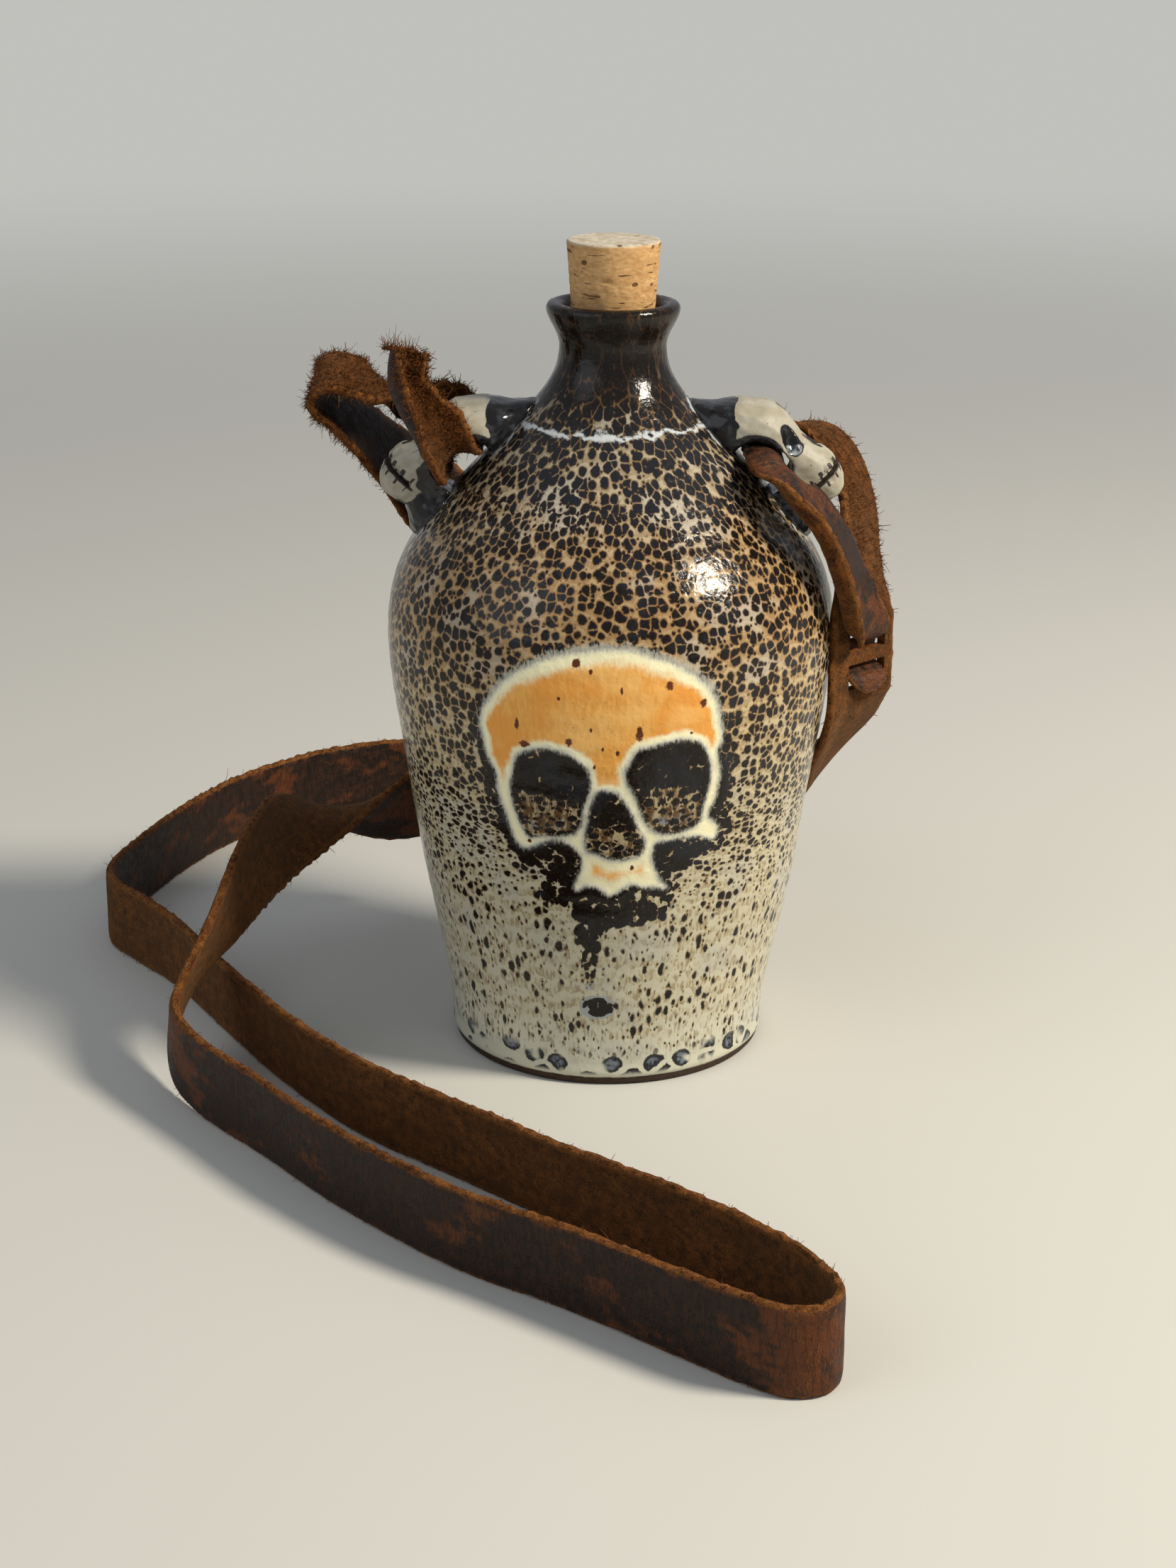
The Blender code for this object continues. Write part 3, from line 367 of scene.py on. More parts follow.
# Strap route in millimetres, from the pointed end to the frayed one: place, the way the suede side faces,
# the share of the full width, and the curl across the width in degrees; a last word marks an open slot
ROUTE = [
    ((66.9, -7.8, 96.2), (-0.68, 0.73, 0.0), 0.24, 0.0),
    ((66.8, -7.7, 98.2), (-0.68, 0.73, -0.02), 0.52, 0.0),
    ((65.6, -6.5, 100.2), (-0.50, 0.54, -0.67), 0.58, 0.0),
    ((63.5, -4.2, 102.3), (-0.50, 0.54, -0.67), 0.58, 0.0),
    ((63.0, -3.7, 105.4), (-0.68, 0.73, 0.0), 0.58, 0.0),
    ((63.5, -4.2, 108.5), (-0.50, 0.54, 0.67), 0.58, 0.0),
    ((65.6, -6.5, 110.6), (-0.50, 0.54, 0.67), 0.58, 0.0),
    ((66.0, -8.7, 113.6), (-0.70, 0.71, 0.0), 0.61, 0.0),
    ((63.2, -12.2, 117.6), (-0.80, 0.58, -0.10), 0.66, 0.0),
    ((60.8, -14.7, 122.8), (-0.88, 0.44, -0.14), 0.70, 0.0),
    ((59.1, -17.2, 128.0), (-0.91, 0.37, -0.16), 0.70, 0.0),
    ((56.5, -20.0, 134.8), (-0.91, 0.36, -0.18), 0.70, 0.0),
    ((53.3, -22.4, 141.4), (-0.89, 0.37, -0.25), 0.71, 0.0),
    ((49.8, -23.8, 147.0), (-0.83, 0.38, -0.40), 0.75, 6.0),
    ((45.2, -23.2, 151.6), (-0.68, 0.38, -0.64), 0.82, 24.0),
    ((41.2, -19.4, 154.8), (-0.58, 0.25, -0.77), 0.84, 52.0),
    ((39.4, -13.2, 156.2), (-0.67, 0.0, -0.74), 0.80, 74.0),
    ((39.1, -6.5, 156.3), (-0.67, 0.0, -0.74), 0.80, 80.0),
    ((39.1, 6.5, 156.3), (-0.67, 0.0, -0.74), 0.80, 80.0),
    ((39.3, 13.0, 156.5), (-0.68, 0.10, -0.72), 0.80, 74.0),
    ((39.7, 18.8, 157.4), (-0.70, 0.35, -0.62), 0.86, 52.0),
    ((41.2, 23.4, 160.0), (-0.85, 0.50, 0.03), 0.94, 26.0),
    ((44.8, 25.8, 162.0), (-0.62, 0.30, 0.72), 1.0, 8.0),
    ((50.0, 26.0, 162.2), (0.02, -0.06, 0.97), 1.0, 0.0),
    ((55.2, 25.4, 159.8), (0.50, -0.14, 0.85), 1.0, 0.0),
    ((59.4, 24.6, 155.2), (0.70, -0.26, 0.66), 1.0, 0.0),
    ((61.6, 21.4, 149.6), (0.80, -0.36, 0.48), 1.0, 0.0),
    ((63.3, 17.6, 143.4), (0.84, -0.42, 0.34), 1.0, 0.0),
    ((64.1, 12.8, 138.4), (0.85, -0.48, 0.20), 1.0, 0.0),
    ((64.4, 7.2, 133.4), (0.84, -0.52, 0.12), 1.0, 0.0),
    ((64.5, 1.6, 128.6), (0.80, -0.58, 0.06), 1.0, 0.0),
    ((64.6, -2.6, 123.8), (0.74, -0.66, 0.02), 1.0, 0.0),
    ((64.8, -5.4, 119.2), (0.68, -0.73, 0.0), 1.0, 0.0),
    ((64.8, -5.6, 113.6), (0.68, -0.73, 0.0), 1.0, 0.0, "slot"),
    ((64.8, -5.6, 107.0), (0.68, -0.73, 0.0), 1.0, 0.0),
    ((64.8, -5.6, 103.8), (0.68, -0.73, 0.0), 1.0, 0.0, "slot"),
    ((64.8, -5.6, 97.2), (0.68, -0.73, 0.0), 1.0, 0.0),
    ((64.7, -5.0, 93.6), (0.66, -0.74, -0.10), 1.0, 0.0),
    ((64.2, -2.2, 89.4), (0.62, -0.68, -0.38), 1.0, 0.0),
    ((62.8, 6.0, 82.4), (0.62, -0.50, -0.60), 1.0, 0.0),
    ((61.2, 21.0, 71.8), (0.68, -0.34, -0.65), 1.0, 0.0),
    ((58.8, 42.0, 59.6), (0.80, -0.05, -0.60), 1.0, 0.0),
    ((52.0, 72.0, 43.6), (0.92, 0.20, -0.34), 1.0, 0.0),
    ((38.5, 108.0, 26.4), (0.86, 0.50, -0.10), 1.0, 0.0),
    ((8.0, 146.0, 14.6), (0.58, 0.81, 0.0), 1.0, 0.0),
    ((-30.0, 170.0, 11.2), (0.34, 0.94, 0.0), 1.0, 0.0),
    ((-62.0, 177.6, 10.9), (0.10, 0.99, 0.06), 1.0, 0.0),
    ((-91.0, 165.8, 10.9), (-0.48, 0.87, 0.06), 1.0, 0.0),
    ((-115.0, 140.0, 10.9), (-0.76, 0.64, 0.06), 1.0, 0.0),
    ((-129.5, 110.5, 10.9), (-0.92, 0.38, 0.06), 1.0, 0.0),
    ((-139.0, 80.5, 10.9), (-0.98, 0.22, 0.04), 1.0, 0.0),
    ((-143.0, 61.0, 10.9), (-0.99, 0.05, 0.0), 1.0, 0.0),
    ((-140.6, 50.0, 10.9), (-0.88, -0.46, 0.0), 1.0, 0.0),
    ((-134.6, 42.0, 10.9), (-0.78, -0.62, 0.0), 1.0, 0.0),
    ((-119.0, 21.6, 10.9), (-0.82, -0.57, -0.05), 1.0, 0.0),
    ((-105.5, -2.6, 10.9), (-0.86, -0.51, -0.08), 1.0, 0.0),
    ((-92.0, -26.0, 10.9), (-0.86, -0.51, -0.08), 1.0, 0.0),
    ((-78.0, -48.2, 10.9), (-0.81, -0.58, -0.08), 1.0, 0.0),
    ((-60.0, -71.6, 10.9), (-0.73, -0.68, -0.08), 1.0, 0.0),
    ((-37.0, -92.8, 10.9), (-0.67, -0.74, -0.08), 1.0, 0.0),
    ((-9.7, -117.6, 10.9), (-0.68, -0.73, -0.06), 1.0, 0.0),
    ((15.6, -138.4, 10.9), (-0.66, -0.75, -0.04), 1.0, 0.0),
    ((33.5, -156.4, 10.9), (-0.78, -0.62, 0.0), 1.0, 0.0),
    ((44.2, -171.6, 10.9), (-0.90, -0.44, 0.0), 1.0, 0.0),
    ((48.2, -182.0, 10.9), (-0.98, 0.15, 0.0), 1.0, 0.0),
    ((45.2, -190.0, 10.9), (-0.60, 0.80, 0.0), 1.0, 0.0),
    ((36.5, -191.6, 10.9), (0.28, 0.96, 0.0), 1.0, 0.0),
    ((20.5, -180.0, 10.9), (0.60, 0.80, 0.04), 1.0, 0.0),
    ((-9.0, -156.0, 10.9), (0.57, 0.82, 0.08), 1.0, 0.0),
    ((-35.0, -137.6, 10.9), (0.60, 0.79, 0.08), 1.0, 0.0),
    ((-62.6, -109.4, 10.9), (0.74, 0.66, 0.08), 1.0, 0.0),
    ((-85.5, -80.0, 10.9), (0.78, 0.62, 0.06), 1.0, 0.0),
    ((-101.5, -60.4, 11.2), (0.80, 0.60, 0.0), 1.0, 0.0),
    ((-109.8, -46.6, 13.4), (0.92, 0.38, 0.0), 1.0, 0.0),
    ((-111.0, -36.5, 18.6), (0.99, 0.05, 0.0), 1.0, 0.0),
    ((-106.6, -30.0, 27.0), (0.94, -0.10, -0.30), 1.0, 0.0),
    ((-101.0, -23.0, 34.6), (0.94, -0.20, -0.20), 1.0, 0.0),
    ((-97.0, -11.0, 40.0), (0.96, -0.22, 0.10), 1.0, 0.0),
    ((-93.6, 5.0, 42.4), (0.95, -0.20, 0.22), 1.0, 0.0),
    ((-89.6, 24.0, 43.0), (0.84, -0.30, 0.45), 1.0, 0.0),
    ((-84.4, 43.0, 42.0), (0.45, -0.38, 0.80), 1.0, 0.0),
    ((-77.4, 58.5, 39.0), (0.0, 0.10, 0.99), 1.0, 0.0),
    ((-69.6, 68.0, 35.5), (-0.38, 0.62, 0.60), 1.0, 0.0),
    ((-60.5, 73.5, 33.5), (-0.30, 0.93, 0.20), 1.0, 0.0),
    ((-51.0, 75.5, 36.5), (-0.05, 0.99, 0.0), 1.0, 0.0),
    ((-43.4, 74.0, 45.5), (0.0, 0.98, 0.17), 1.0, 0.0),
    ((-39.8, 68.5, 60.0), (-0.05, 0.95, 0.30), 1.0, 0.0),
    ((-37.2, 65.0, 78.0), (-0.06, 0.94, 0.32), 1.0, 0.0),
    ((-34.4, 60.8, 95.0), (-0.10, 0.92, 0.36), 1.0, 0.0),
    ((-34.4, 55.0, 109.0), (-0.20, 0.88, 0.42), 1.0, 0.0),
    ((-38.0, 48.4, 120.6), (-0.36, 0.82, 0.42), 1.0, 0.0),
    ((-44.2, 41.4, 131.2), (-0.56, 0.76, 0.20), 1.0, 0.0),
    ((-51.2, 34.6, 140.4), (-0.70, 0.62, -0.12), 1.0, 0.0),
    ((-58.2, 28.2, 149.0), (-0.76, 0.42, -0.42), 1.0, 0.0),
    ((-65.4, 22.8, 157.6), (-0.77, 0.30, -0.54), 1.0, 0.0),
    ((-71.8, 18.8, 164.8), (-0.80, 0.24, -0.54), 1.0, 0.0),
    ((-75.2, 16.6, 168.8), (-0.92, 0.14, -0.20), 1.0, 0.0),
    ((-75.2, 15.4, 171.2), (-0.86, -0.10, 0.50), 1.0, 0.0),
    ((-72.6, 14.8, 173.2), (-0.25, -0.24, 0.93), 1.0, 0.0),
    ((-68.0, 15.2, 172.8), (0.16, -0.26, 0.95), 1.0, 0.0),
    ((-62.0, 16.4, 170.4), (0.26, -0.24, 0.93), 1.0, 0.0),
    ((-55.2, 19.8, 167.8), (0.28, 0.30, 0.90), 1.0, 0.0),
    ((-49.4, 24.0, 164.8), (0.22, 0.80, 0.56), 1.0, 0.0),
    ((-44.4, 26.0, 161.4), (0.60, 0.76, 0.14), 1.0, 8.0),
    ((-41.0, 23.6, 158.8), (0.84, 0.30, -0.30), 0.94, 26.0),
    ((-39.7, 18.8, 157.2), (0.76, 0.10, -0.60), 0.86, 52.0),
    ((-39.3, 13.0, 156.5), (0.69, 0.0, -0.72), 0.80, 74.0),
    ((-39.1, 6.5, 156.3), (0.67, 0.0, -0.74), 0.80, 80.0),
    ((-39.1, -6.5, 156.3), (0.67, 0.0, -0.74), 0.80, 80.0),
    ((-39.5, -12.6, 156.8), (0.68, -0.12, -0.72), 0.78, 74.0),
    ((-40.9, -15.6, 159.6), (0.78, -0.40, -0.42), 0.84, 66.0),
    ((-43.2, -16.8, 163.8), (0.84, -0.48, -0.10), 0.96, 56.0),
    ((-46.2, -17.2, 167.6), (0.92, -0.36, 0.10), 0.97, 66.0),
    ((-49.1, -17.4, 172.2), (0.94, -0.30, 0.18), 0.95, 74.0),
    ((-51.2, -17.2, 176.8), (0.94, -0.30, 0.22), 0.86, 82.0),
    ((-51.2, -16.8, 181.0), (0.88, -0.42, 0.26), 0.84, 78.0),
    ((-50.8, -16.2, 184.6), (0.84, -0.48, 0.28), 0.74, 66.0),
]


def strap_rows():
    """The strap's middle line in steps: place, suede direction, along, share, curl, slot, fold and flare.

    Fold is 1 where the near edge is turned over on the front strand, and flare is 1 where the band beside
    the flask spreads toward it. The loop behind the right lug sags by SAG times a smooth hump. Its turns, and
    those of the stretch on the floor, are evened out by a running mean. Spot counts the rows of the route.
    """
    place = np.array([row[0] for row in ROUTE]) * MM
    suede = unit(np.array([row[1] for row in ROUTE]))
    slot = np.array([len(row) > 4 for row in ROUTE[:-1]])
    counts = smooth_counts(place, STRAP_STEP)
    line = smooth_line(place, counts)
    spot = np.append(np.concatenate([i + np.arange(n) / n for i, n in enumerate(counts)]), len(ROUTE) - 1)
    rows = np.arange(len(ROUTE))
    facing = np.stack([np.interp(spot, rows, suede[:, k]) for k in range(3)], axis=1)
    share = np.interp(spot, rows, [row[2] for row in ROUTE])
    curl = np.radians(np.interp(spot, rows, [row[3] for row in ROUTE]))
    open_rows = np.append(np.repeat(slot, counts), False)
    straight = open_rows | np.append(False, open_rows[:-1])

    def stretch(rise, full, fade, end):
        return eased(spot, rise, full) * (1.0 - eased(spot, fade, end))

    line[:, 2] -= SAG * (stretch(19.6, 22.4, 24.6, 28.6) + FRONT_SAG * stretch(19.8, 21.0, 21.8, 24.0))
    # Narrower where it leaves the right tunnel behind, wider low on the front strand and where it is woven
    share = share - 0.16 * stretch(20.0, 21.2, 21.6, 23.0) + 0.16 * stretch(7.0, 8.3, 10.3, 12.5)
    share = share + 0.05 * stretch(0.8, 2.0, 6.0, 7.5)
    even = stretch(21.0, 23.0, 31.7, 33.0) + eased(spot, 37.5, 38.5)
    even = (even * (1.0 - eased(spot, len(ROUTE) - 30.0, len(ROUTE) - 26.0)))[:, None]
    for values, reach in ((line, 5), (facing, 9)):
        mean = np.stack([np.convolve(np.pad(values[:, k], reach, "edge"), np.ones(2 * reach + 1), "valid")
                         for k in range(3)], axis=1) / (2 * reach + 1)
        values += (mean - values) * even
    along = np.gradient(line, axis=0)
    along[straight] = (0.0, 0.0, -1.0)
    fold = stretch(7.1, 8.8, 13.2, 15.4)
    flare = stretch(27.5, 30.0, 39.0, 41.0)
    return line, facing, unit(along), share, curl, open_rows, fold, flare


def strap_surface(line, facing, along, share, curl, fold, flare):
    """Middle surface of the strap and its outward direction on the suede side.

    A row of the strap is an arc of radius half / curl: across r sin(turn), and towards the suede
    r (1 - cos turn), less a share of the depth of the whole arc; it is flat where the curl is nothing.
    Where the strap is folded, the last FOLD_WIDTH of the row turns toward the grain side: first round an
    arc of FOLD_RADIUS up to the fold angle, then straight on. The near edge spreads by FLARE where flare
    is 1.
    """
    normal = unit(facing - along * np.sum(facing * along, axis=1, keepdims=True))
    across = np.cross(along, normal)
    ragged = 1.0 + 0.012 * ripple(line, 5, 9.0 * MM) + 0.008 * ripple(line, 6, 3.0 * MM)
    half = 0.5 * STRAP_WIDTH * (share + FOLD_SHARE * fold) * np.minimum(ragged, 1.03)
    bend = np.maximum(curl, 1e-4)[:, None]
    columns = np.array(STRAP_COLUMNS)[None, :]
    turn = columns * bend
    radius = half[:, None] / bend
    past = np.maximum(columns * half[:, None] - (half[:, None] - FOLD_WIDTH), 0.0)
    whole = (FOLD_TURN * fold)[:, None]
    round_it = np.minimum(past / FOLD_RADIUS, whole)
    rest = np.maximum(past - FOLD_RADIUS * whole, 0.0)
    side = radius * np.sin(turn) - past + FOLD_RADIUS * np.sin(round_it) + rest * np.cos(whole)
    side = np.where(whole > 1e-6, side, radius * np.sin(turn)) + FOLD_SHIFT * fold[:, None]
    lift = radius * (1.0 - np.cos(turn)) - CURL_CENTRE_SHARE * radius * (1.0 - np.cos(bend))
    lift = lift - FOLD_RADIUS * (1.0 - np.cos(round_it)) - rest * np.sin(whole)
    spread = FLARE * flare[:, None] * eased(columns, 0.67, 1.0)
    side = side + spread
    lift = lift + 0.3 * spread
    middle = line[:, None] + across[:, None] * side[..., None] + normal[:, None] * lift[..., None]
    face = (turn - round_it)[..., None]
    out = normal[:, None] * np.cos(face) - across[:, None] * np.sin(face)
    return middle, out, across


def make_strap(suede_mat, grain_mat, edge_mat):
    """The whole strap as a closed skin: rounded edges, two open slots, and a slightly uneven thickness."""
    line, facing, along, share, curl, open_rows, fold, flare = strap_rows()
    middle, out, across = strap_surface(line, facing, along, share, curl, fold, flare)
    thick = mixed(TIP_THICKNESS, STRAP_THICKNESS, np.clip(3.0 * share - 2.0, 0.0, 1.0))[:, None, None]
    columns = np.array(STRAP_COLUMNS)
    rim = 1.0 - 0.16 * eased(np.abs(columns), 0.86, 1.0)[None, :, None]
    nap = 0.05 * MM * ripple(middle, 11, 2.6 * MM)[..., None]
    crease = 0.07 * MM * ripple(middle, 12, 6.0 * MM)[..., None]
    top = middle + out * (0.5 * thick * rim + nap)
    low = middle - out * (0.5 * thick * rim + crease)

    def rounded_edge(end, sign):
        base, deep = middle[:, end], thick[:, 0]
        sideways = np.cross(along, out[:, end]) * sign
        wave = 1.0 + 0.5 * ripple(base, 21 + end, 2.2 * MM)[:, None]
        return np.stack([base + out[:, end] * (0.5 * up * deep) + sideways * (wide * deep * wave)
                         for up, wide in EDGE_SHARES], axis=1)

    far_edge, near_edge = rounded_edge(-1, 1.0), rounded_edge(0, -1.0)
    ring = np.concatenate([top, far_edge, low[:, ::-1], near_edge[:, ::-1]], axis=1)
    ring[..., 2] = np.maximum(ring[..., 2], 0.05 * MM)
    rows, size = ring.shape[:2]
    count = len(columns)
    faces = grid_faces(rows, size, around=True).reshape(rows - 1, size, 4)
    kind = np.full((rows - 1, size), EDGE_FACE)
    kind[:, :count - 1] = SUEDE_FACE
    kind[:, count + 2:2 * count + 1] = GRAIN_FACE
    keep = np.ones((rows - 1, size), bool)
    first, last = SLOT_COLUMNS
    keep[open_rows[:-1], first:last] = False
    under = 2 * count + 1
    keep[open_rows[:-1], under - last:under - first] = False

    def upper(row, k):
        return row * size + k

    def lower(row, k):
        return row * size + under - k

    # Walls of the slots and the two cut ends, over one column at a time, then the slots' long sides
    edges = np.flatnonzero(np.diff(np.concatenate([[0], open_rows.astype(int), [0]])))
    slots = list(zip(edges[::2], edges[1::2]))
    over = [(row, k) for row in edges for k in range(first, last)]
    over += [(row, k) for row in (0, rows - 1) for k in range(count - 1)]
    closing = [[upper(row, k), upper(row, k + 1), lower(row, k + 1), lower(row, k)] for row, k in over]
    closing += [[upper(row, k), upper(row + 1, k), lower(row + 1, k), lower(row, k)]
                for start, stop in slots for k in (first, last) for row in range(start, stop)]
    for row in (0, rows - 1):
        closing.append([upper(row, k) for k in range(count - 1, count + 3)])
        closing.append([upper(row, 0), upper(row, size - 1), upper(row, size - 2), lower(row, 0)])
    kinds = np.append(kind[keep], np.full(len(closing), EDGE_FACE)).astype(np.int32)
    ob = piece("strap_leather", ring, [faces[keep], closing], (suede_mat, grain_mat, edge_mat))
    ob.data.polygons.foreach_set("material_index", kinds)
    bm = bmesh.new()
    bm.from_mesh(ob.data)
    bmesh.ops.recalc_face_normals(bm, faces=bm.faces)
    bm.to_mesh(ob.data)
    bm.free()
    ob.data.set_sharp_from_angle(angle=math.radians(50.0))
    run = run_along(line)
    half = 0.5 * STRAP_WIDTH * (share + FOLD_SHARE * fold)
    reach = np.concatenate([columns, [1.04, 1.04], columns[::-1], [-1.04, -1.04]])
    hide = np.zeros((rows, size, 3))
    hide[..., 0] = run[:, None] / MM
    hide[..., 1] = half[:, None] * reach[None, :] / MM
    hide[..., 2] = np.concatenate([np.full(count, 3.0), [1.0, -1.0], np.full(count, -3.0), [-1.0, 1.0]])
    set_values(ob, "hide", hide.reshape(-1, 3))
    set_values(ob, "edge", np.tile(np.minimum(np.abs(reach), 1.0), rows))
    turning = np.linalg.norm(np.gradient(along, axis=0), axis=1) / np.maximum(np.gradient(run), 1e-6) * MM
    set_values(ob, "flex", np.repeat(np.clip(turning * 8.0, 0.0, 1.0), size))
    return ob, line, middle, out, across, along


# Fibres: short thin three-sided strands drawn out of the cut edges and out of the suede, most of them on the
# frayed end and its loop
FIBRE_COUNT = 9400
FIBRE_THICKNESS = 0.125 * MM
LOWEST_FIBRE = 0.15 * MM
FIBRE_STEPS = 4
EDGE_SEED = 31
NAP_SEED = 32


def make_fibres(name, seed, mat, line, middle, out, across, along):
    """Strands of leather. Each is a curve p + s d + s s g, with d outward from the leather and g a random
    bend. Those of EDGE_SEED stand on the edges, and the others on the suede of the loop and the frayed end.
    """
    rng = np.random.default_rng(seed)
    on_edge = seed == EDGE_SEED
    run = run_along(line)
    total = run[-1]
    loop = np.exp(-((run - (total - 0.098)) / 0.040) ** 4)
    tail = eased(run, total - 0.040, total - 0.006)
    tassel = eased(run, total - 0.009, total)
    arc = np.exp(-((line[:, 2] - 0.140) / 0.026) ** 2) * (line[:, 0] > 0.050) * (line[:, 1] > -0.004)
    uneven = 0.10 + 0.08 * (ripple(line, 41, 40.0 * MM) + 1.0)
    wear = uneven + 2.6 * loop + 2.6 * tail + 9.0 * tassel + 0.6 * arc
    if not on_edge:
        wear = 1.4 * loop + 1.0 * tail + 0.45 * arc
    weight = wear * np.gradient(run)
    row = rng.choice(len(run), FIBRE_COUNT, p=weight / weight.sum())
    normal = out[row, MIDDLE_COLUMN]
    ahead = along[row]
    jitter = rng.normal(size=(FIBRE_COUNT, 3))
    worn = (loop + tail)[row]
    if on_edge:
        end = rng.choice([0, -1], FIBRE_COUNT)
        sign = np.where(end == 0, -1.0, 1.0)[:, None]
        level = rng.uniform(-0.5, 0.5, FIBRE_COUNT)[:, None] * STRAP_THICKNESS * 0.85
        at_tip = (rng.random(FIBRE_COUNT) < 0.75 * tassel[row])[:, None]
        start = np.where(end[:, None] == 0, middle[row, 0], middle[row, -1])
        spread = rng.uniform(-1.0, 1.0, FIBRE_COUNT)[:, None]
        tip_start = middle[-1, MIDDLE_COLUMN] + (middle[-1, -1] - middle[-1, 0]) * 0.5 * spread
        start = np.where(at_tip, tip_start, start)
        side = across[row] * sign
        aim = np.where(at_tip, ahead + side * 0.35 * rng.normal(size=(FIBRE_COUNT, 1)), side)
        aim = unit(aim + 0.6 * jitter + 0.35 * ahead * rng.normal(size=(FIBRE_COUNT, 1)))
        length = 0.5 + 0.6 * rng.random(FIBRE_COUNT) + rng.random(FIBRE_COUNT) ** 4 * (0.8 + 1.3 * worn)
        length = np.where(rng.random(FIBRE_COUNT) < 0.010 * (0.3 + worn), length + 2.2, length)[:, None] * MM
        start = start + normal * level - aim * 0.30 * MM
    else:
        column = rng.integers(0, len(STRAP_COLUMNS) - 1, FIBRE_COUNT)
        share = rng.random(FIBRE_COUNT)[:, None]
        start = mixed(middle[row, column], middle[row, column + 1], share)
        normal = unit(mixed(out[row, column], out[row, column + 1], share))
        slide = rng.uniform(-0.8, 0.8, (FIBRE_COUNT, 1)) * MM
        start = start + normal * 0.44 * STRAP_THICKNESS + ahead * slide
        aim = unit(0.55 * normal + jitter)
        length = (0.7 + 0.9 * rng.random(FIBRE_COUNT))[:, None] * MM
    bend = unit(rng.normal(size=(FIBRE_COUNT, 3))) * length * 0.85

    if on_edge:
        # One long loose strand on the outer edge of the right loop
        stray = np.argmin(np.linalg.norm(middle[:, 0] - np.array([69.0, 18.0, 135.6]) * MM, axis=1))
        start[0], aim[0], length[0] = middle[stray, 0], unit(np.array([1.0, -0.25, 0.04])), 4.2 * MM
        bend[0] = np.array([0.2, 0.0, 0.9]) * 0.0004
    t = (np.arange(FIBRE_STEPS) / (FIBRE_STEPS - 1))[None, :, None]
    path = start[:, None] + aim[:, None] * length[:, None] * t + bend[:, None] * t ** 2
    path[..., 2] = np.maximum(path[..., 2], LOWEST_FIBRE)
    frame_a = unit(np.cross(aim, rng.normal(size=(FIBRE_COUNT, 3))))
    frame_b = np.cross(aim, frame_a)
    turns = np.arange(3) * 2.0 * math.pi / 3.0
    thin = FIBRE_THICKNESS * (1.0 - 0.55 * t) * rng.uniform(0.6, 1.2, FIBRE_COUNT)[:, None, None]
    thin[0] *= 1.6
    ring = frame_a[:, None, None] * np.cos(turns)[:, None] + frame_b[:, None, None] * np.sin(turns)[:, None]
    each = FIBRE_STEPS * 3
    shift = (np.arange(FIBRE_COUNT) * each)[:, None, None]
    sides = (grid_faces(FIBRE_STEPS, 3, around=True) + shift).reshape(-1, 4)
    ends = (np.array([[0, 2, 1], [each - 3, each - 2, each - 1]]) + shift).reshape(-1, 3)
    return piece(name, path[:, :, None] + ring * thin[..., None], [sides, ends], [mat])


# Flask: the same outline as the solid, in millimetres as (height, radius)
FLASK_HEIGHT = 194.6
NECK_LEVEL = 184.0
BODY_LEVEL = 110.0
BODY_RADIUS = 57.1
FOOT_RADIUS = 41.1
FOOT_HEIGHT = 6.0
NECK_RADIUS = 13.4
RIM_RADIUS = 16.7
BELLY = ((0.08, 0.05), (0.17, 0.16), (0.29, 0.31), (0.42, 0.48), (0.56, 0.62), (0.70, 0.76), (0.83, 0.90),
         (0.92, 0.97), (1.0, 1.0))
SHOULDER = ((0.095, 0.993), (0.19, 0.963), (0.285, 0.899), (0.38, 0.794), (0.475, 0.66), (0.57, 0.519),
            (0.65, 0.394), (0.716, 0.284), (0.784, 0.175), (0.84, 0.10), (0.892, 0.043), (0.946, 0.010),
            (1.0, 0.0))
LIP = ((0.28, 0.25), (0.54, 0.68), (0.73, 0.94), (0.88, 1.0), (0.97, 0.80))
INSIDE = ((194.6, 14.65), (194.2, 12.85), (192.5, 12.6), (187.0, 10.3), (176.6, 10.3), (170.0, 11.6),
          (160.0, 19.0), (150.0, 28.5), (140.0, 38.5), (130.0, 47.0), (120.0, 51.3), (108.0, 52.0),
          (84.0, 49.6), (60.0, 44.8), (36.0, 40.2), (16.0, 36.6), (9.0, 34.6), (6.4, 30.0), (6.0, 22.0),
          (6.0, 8.0))
FLASK_SIDES = 336
FRONT_CROWD = 0.36
WAX_LINE = 2.4
FRONT_REACH = 0.2
FIGURE_FAR = -60.0

# The skull left in the glaze, as (arc, height) in millimetres on the wall of the flask; arc runs to the right
CROWN = ((-30.5, 87), (-32.5, 91), (-33.5, 96), (-34, 101), (-31, 106.5), (-26.5, 112), (-20.5, 116),
         (-13.5, 119), (-5.5, 120.5), (3, 121), (10.5, 119), (17.5, 116), (22.5, 112), (26, 107.5),
         (27.5, 102.5), (28.5, 97), (27.5, 93.5), (29, 87.5), (28.5, 81.5), (27, 76), (30.5, 72.5),
         (29.5, 69.5), (24, 71), (17.5, 71), (12.5, 70), (11.5, 66), (14, 60), (16.5, 57), (13, 58),
         (9.5, 58), (6.5, 59), (3, 57.5), (0, 56), (-3, 58), (-6.5, 58.5), (-9.5, 57), (-9.5, 59),
         (-7.5, 63.5), (-8, 67), (-11.5, 70), (-16, 70.5), (-20, 69), (-24, 67.5), (-27, 70), (-28.5, 75.5),
         (-30, 80), (-30.5, 83.5))
LEFT_EYE = ((-26, 87.5), (-24.5, 92.5), (-21, 94.5), (-16.5, 95.5), (-11, 94.5), (-7, 92), (-5, 88.5),
            (-5, 85), (-6.5, 80), (-7.5, 75), (-9.5, 72.5), (-13.5, 71.5), (-18.5, 71), (-22.5, 70.5),
            (-25, 74), (-26.5, 79), (-27, 83.5))
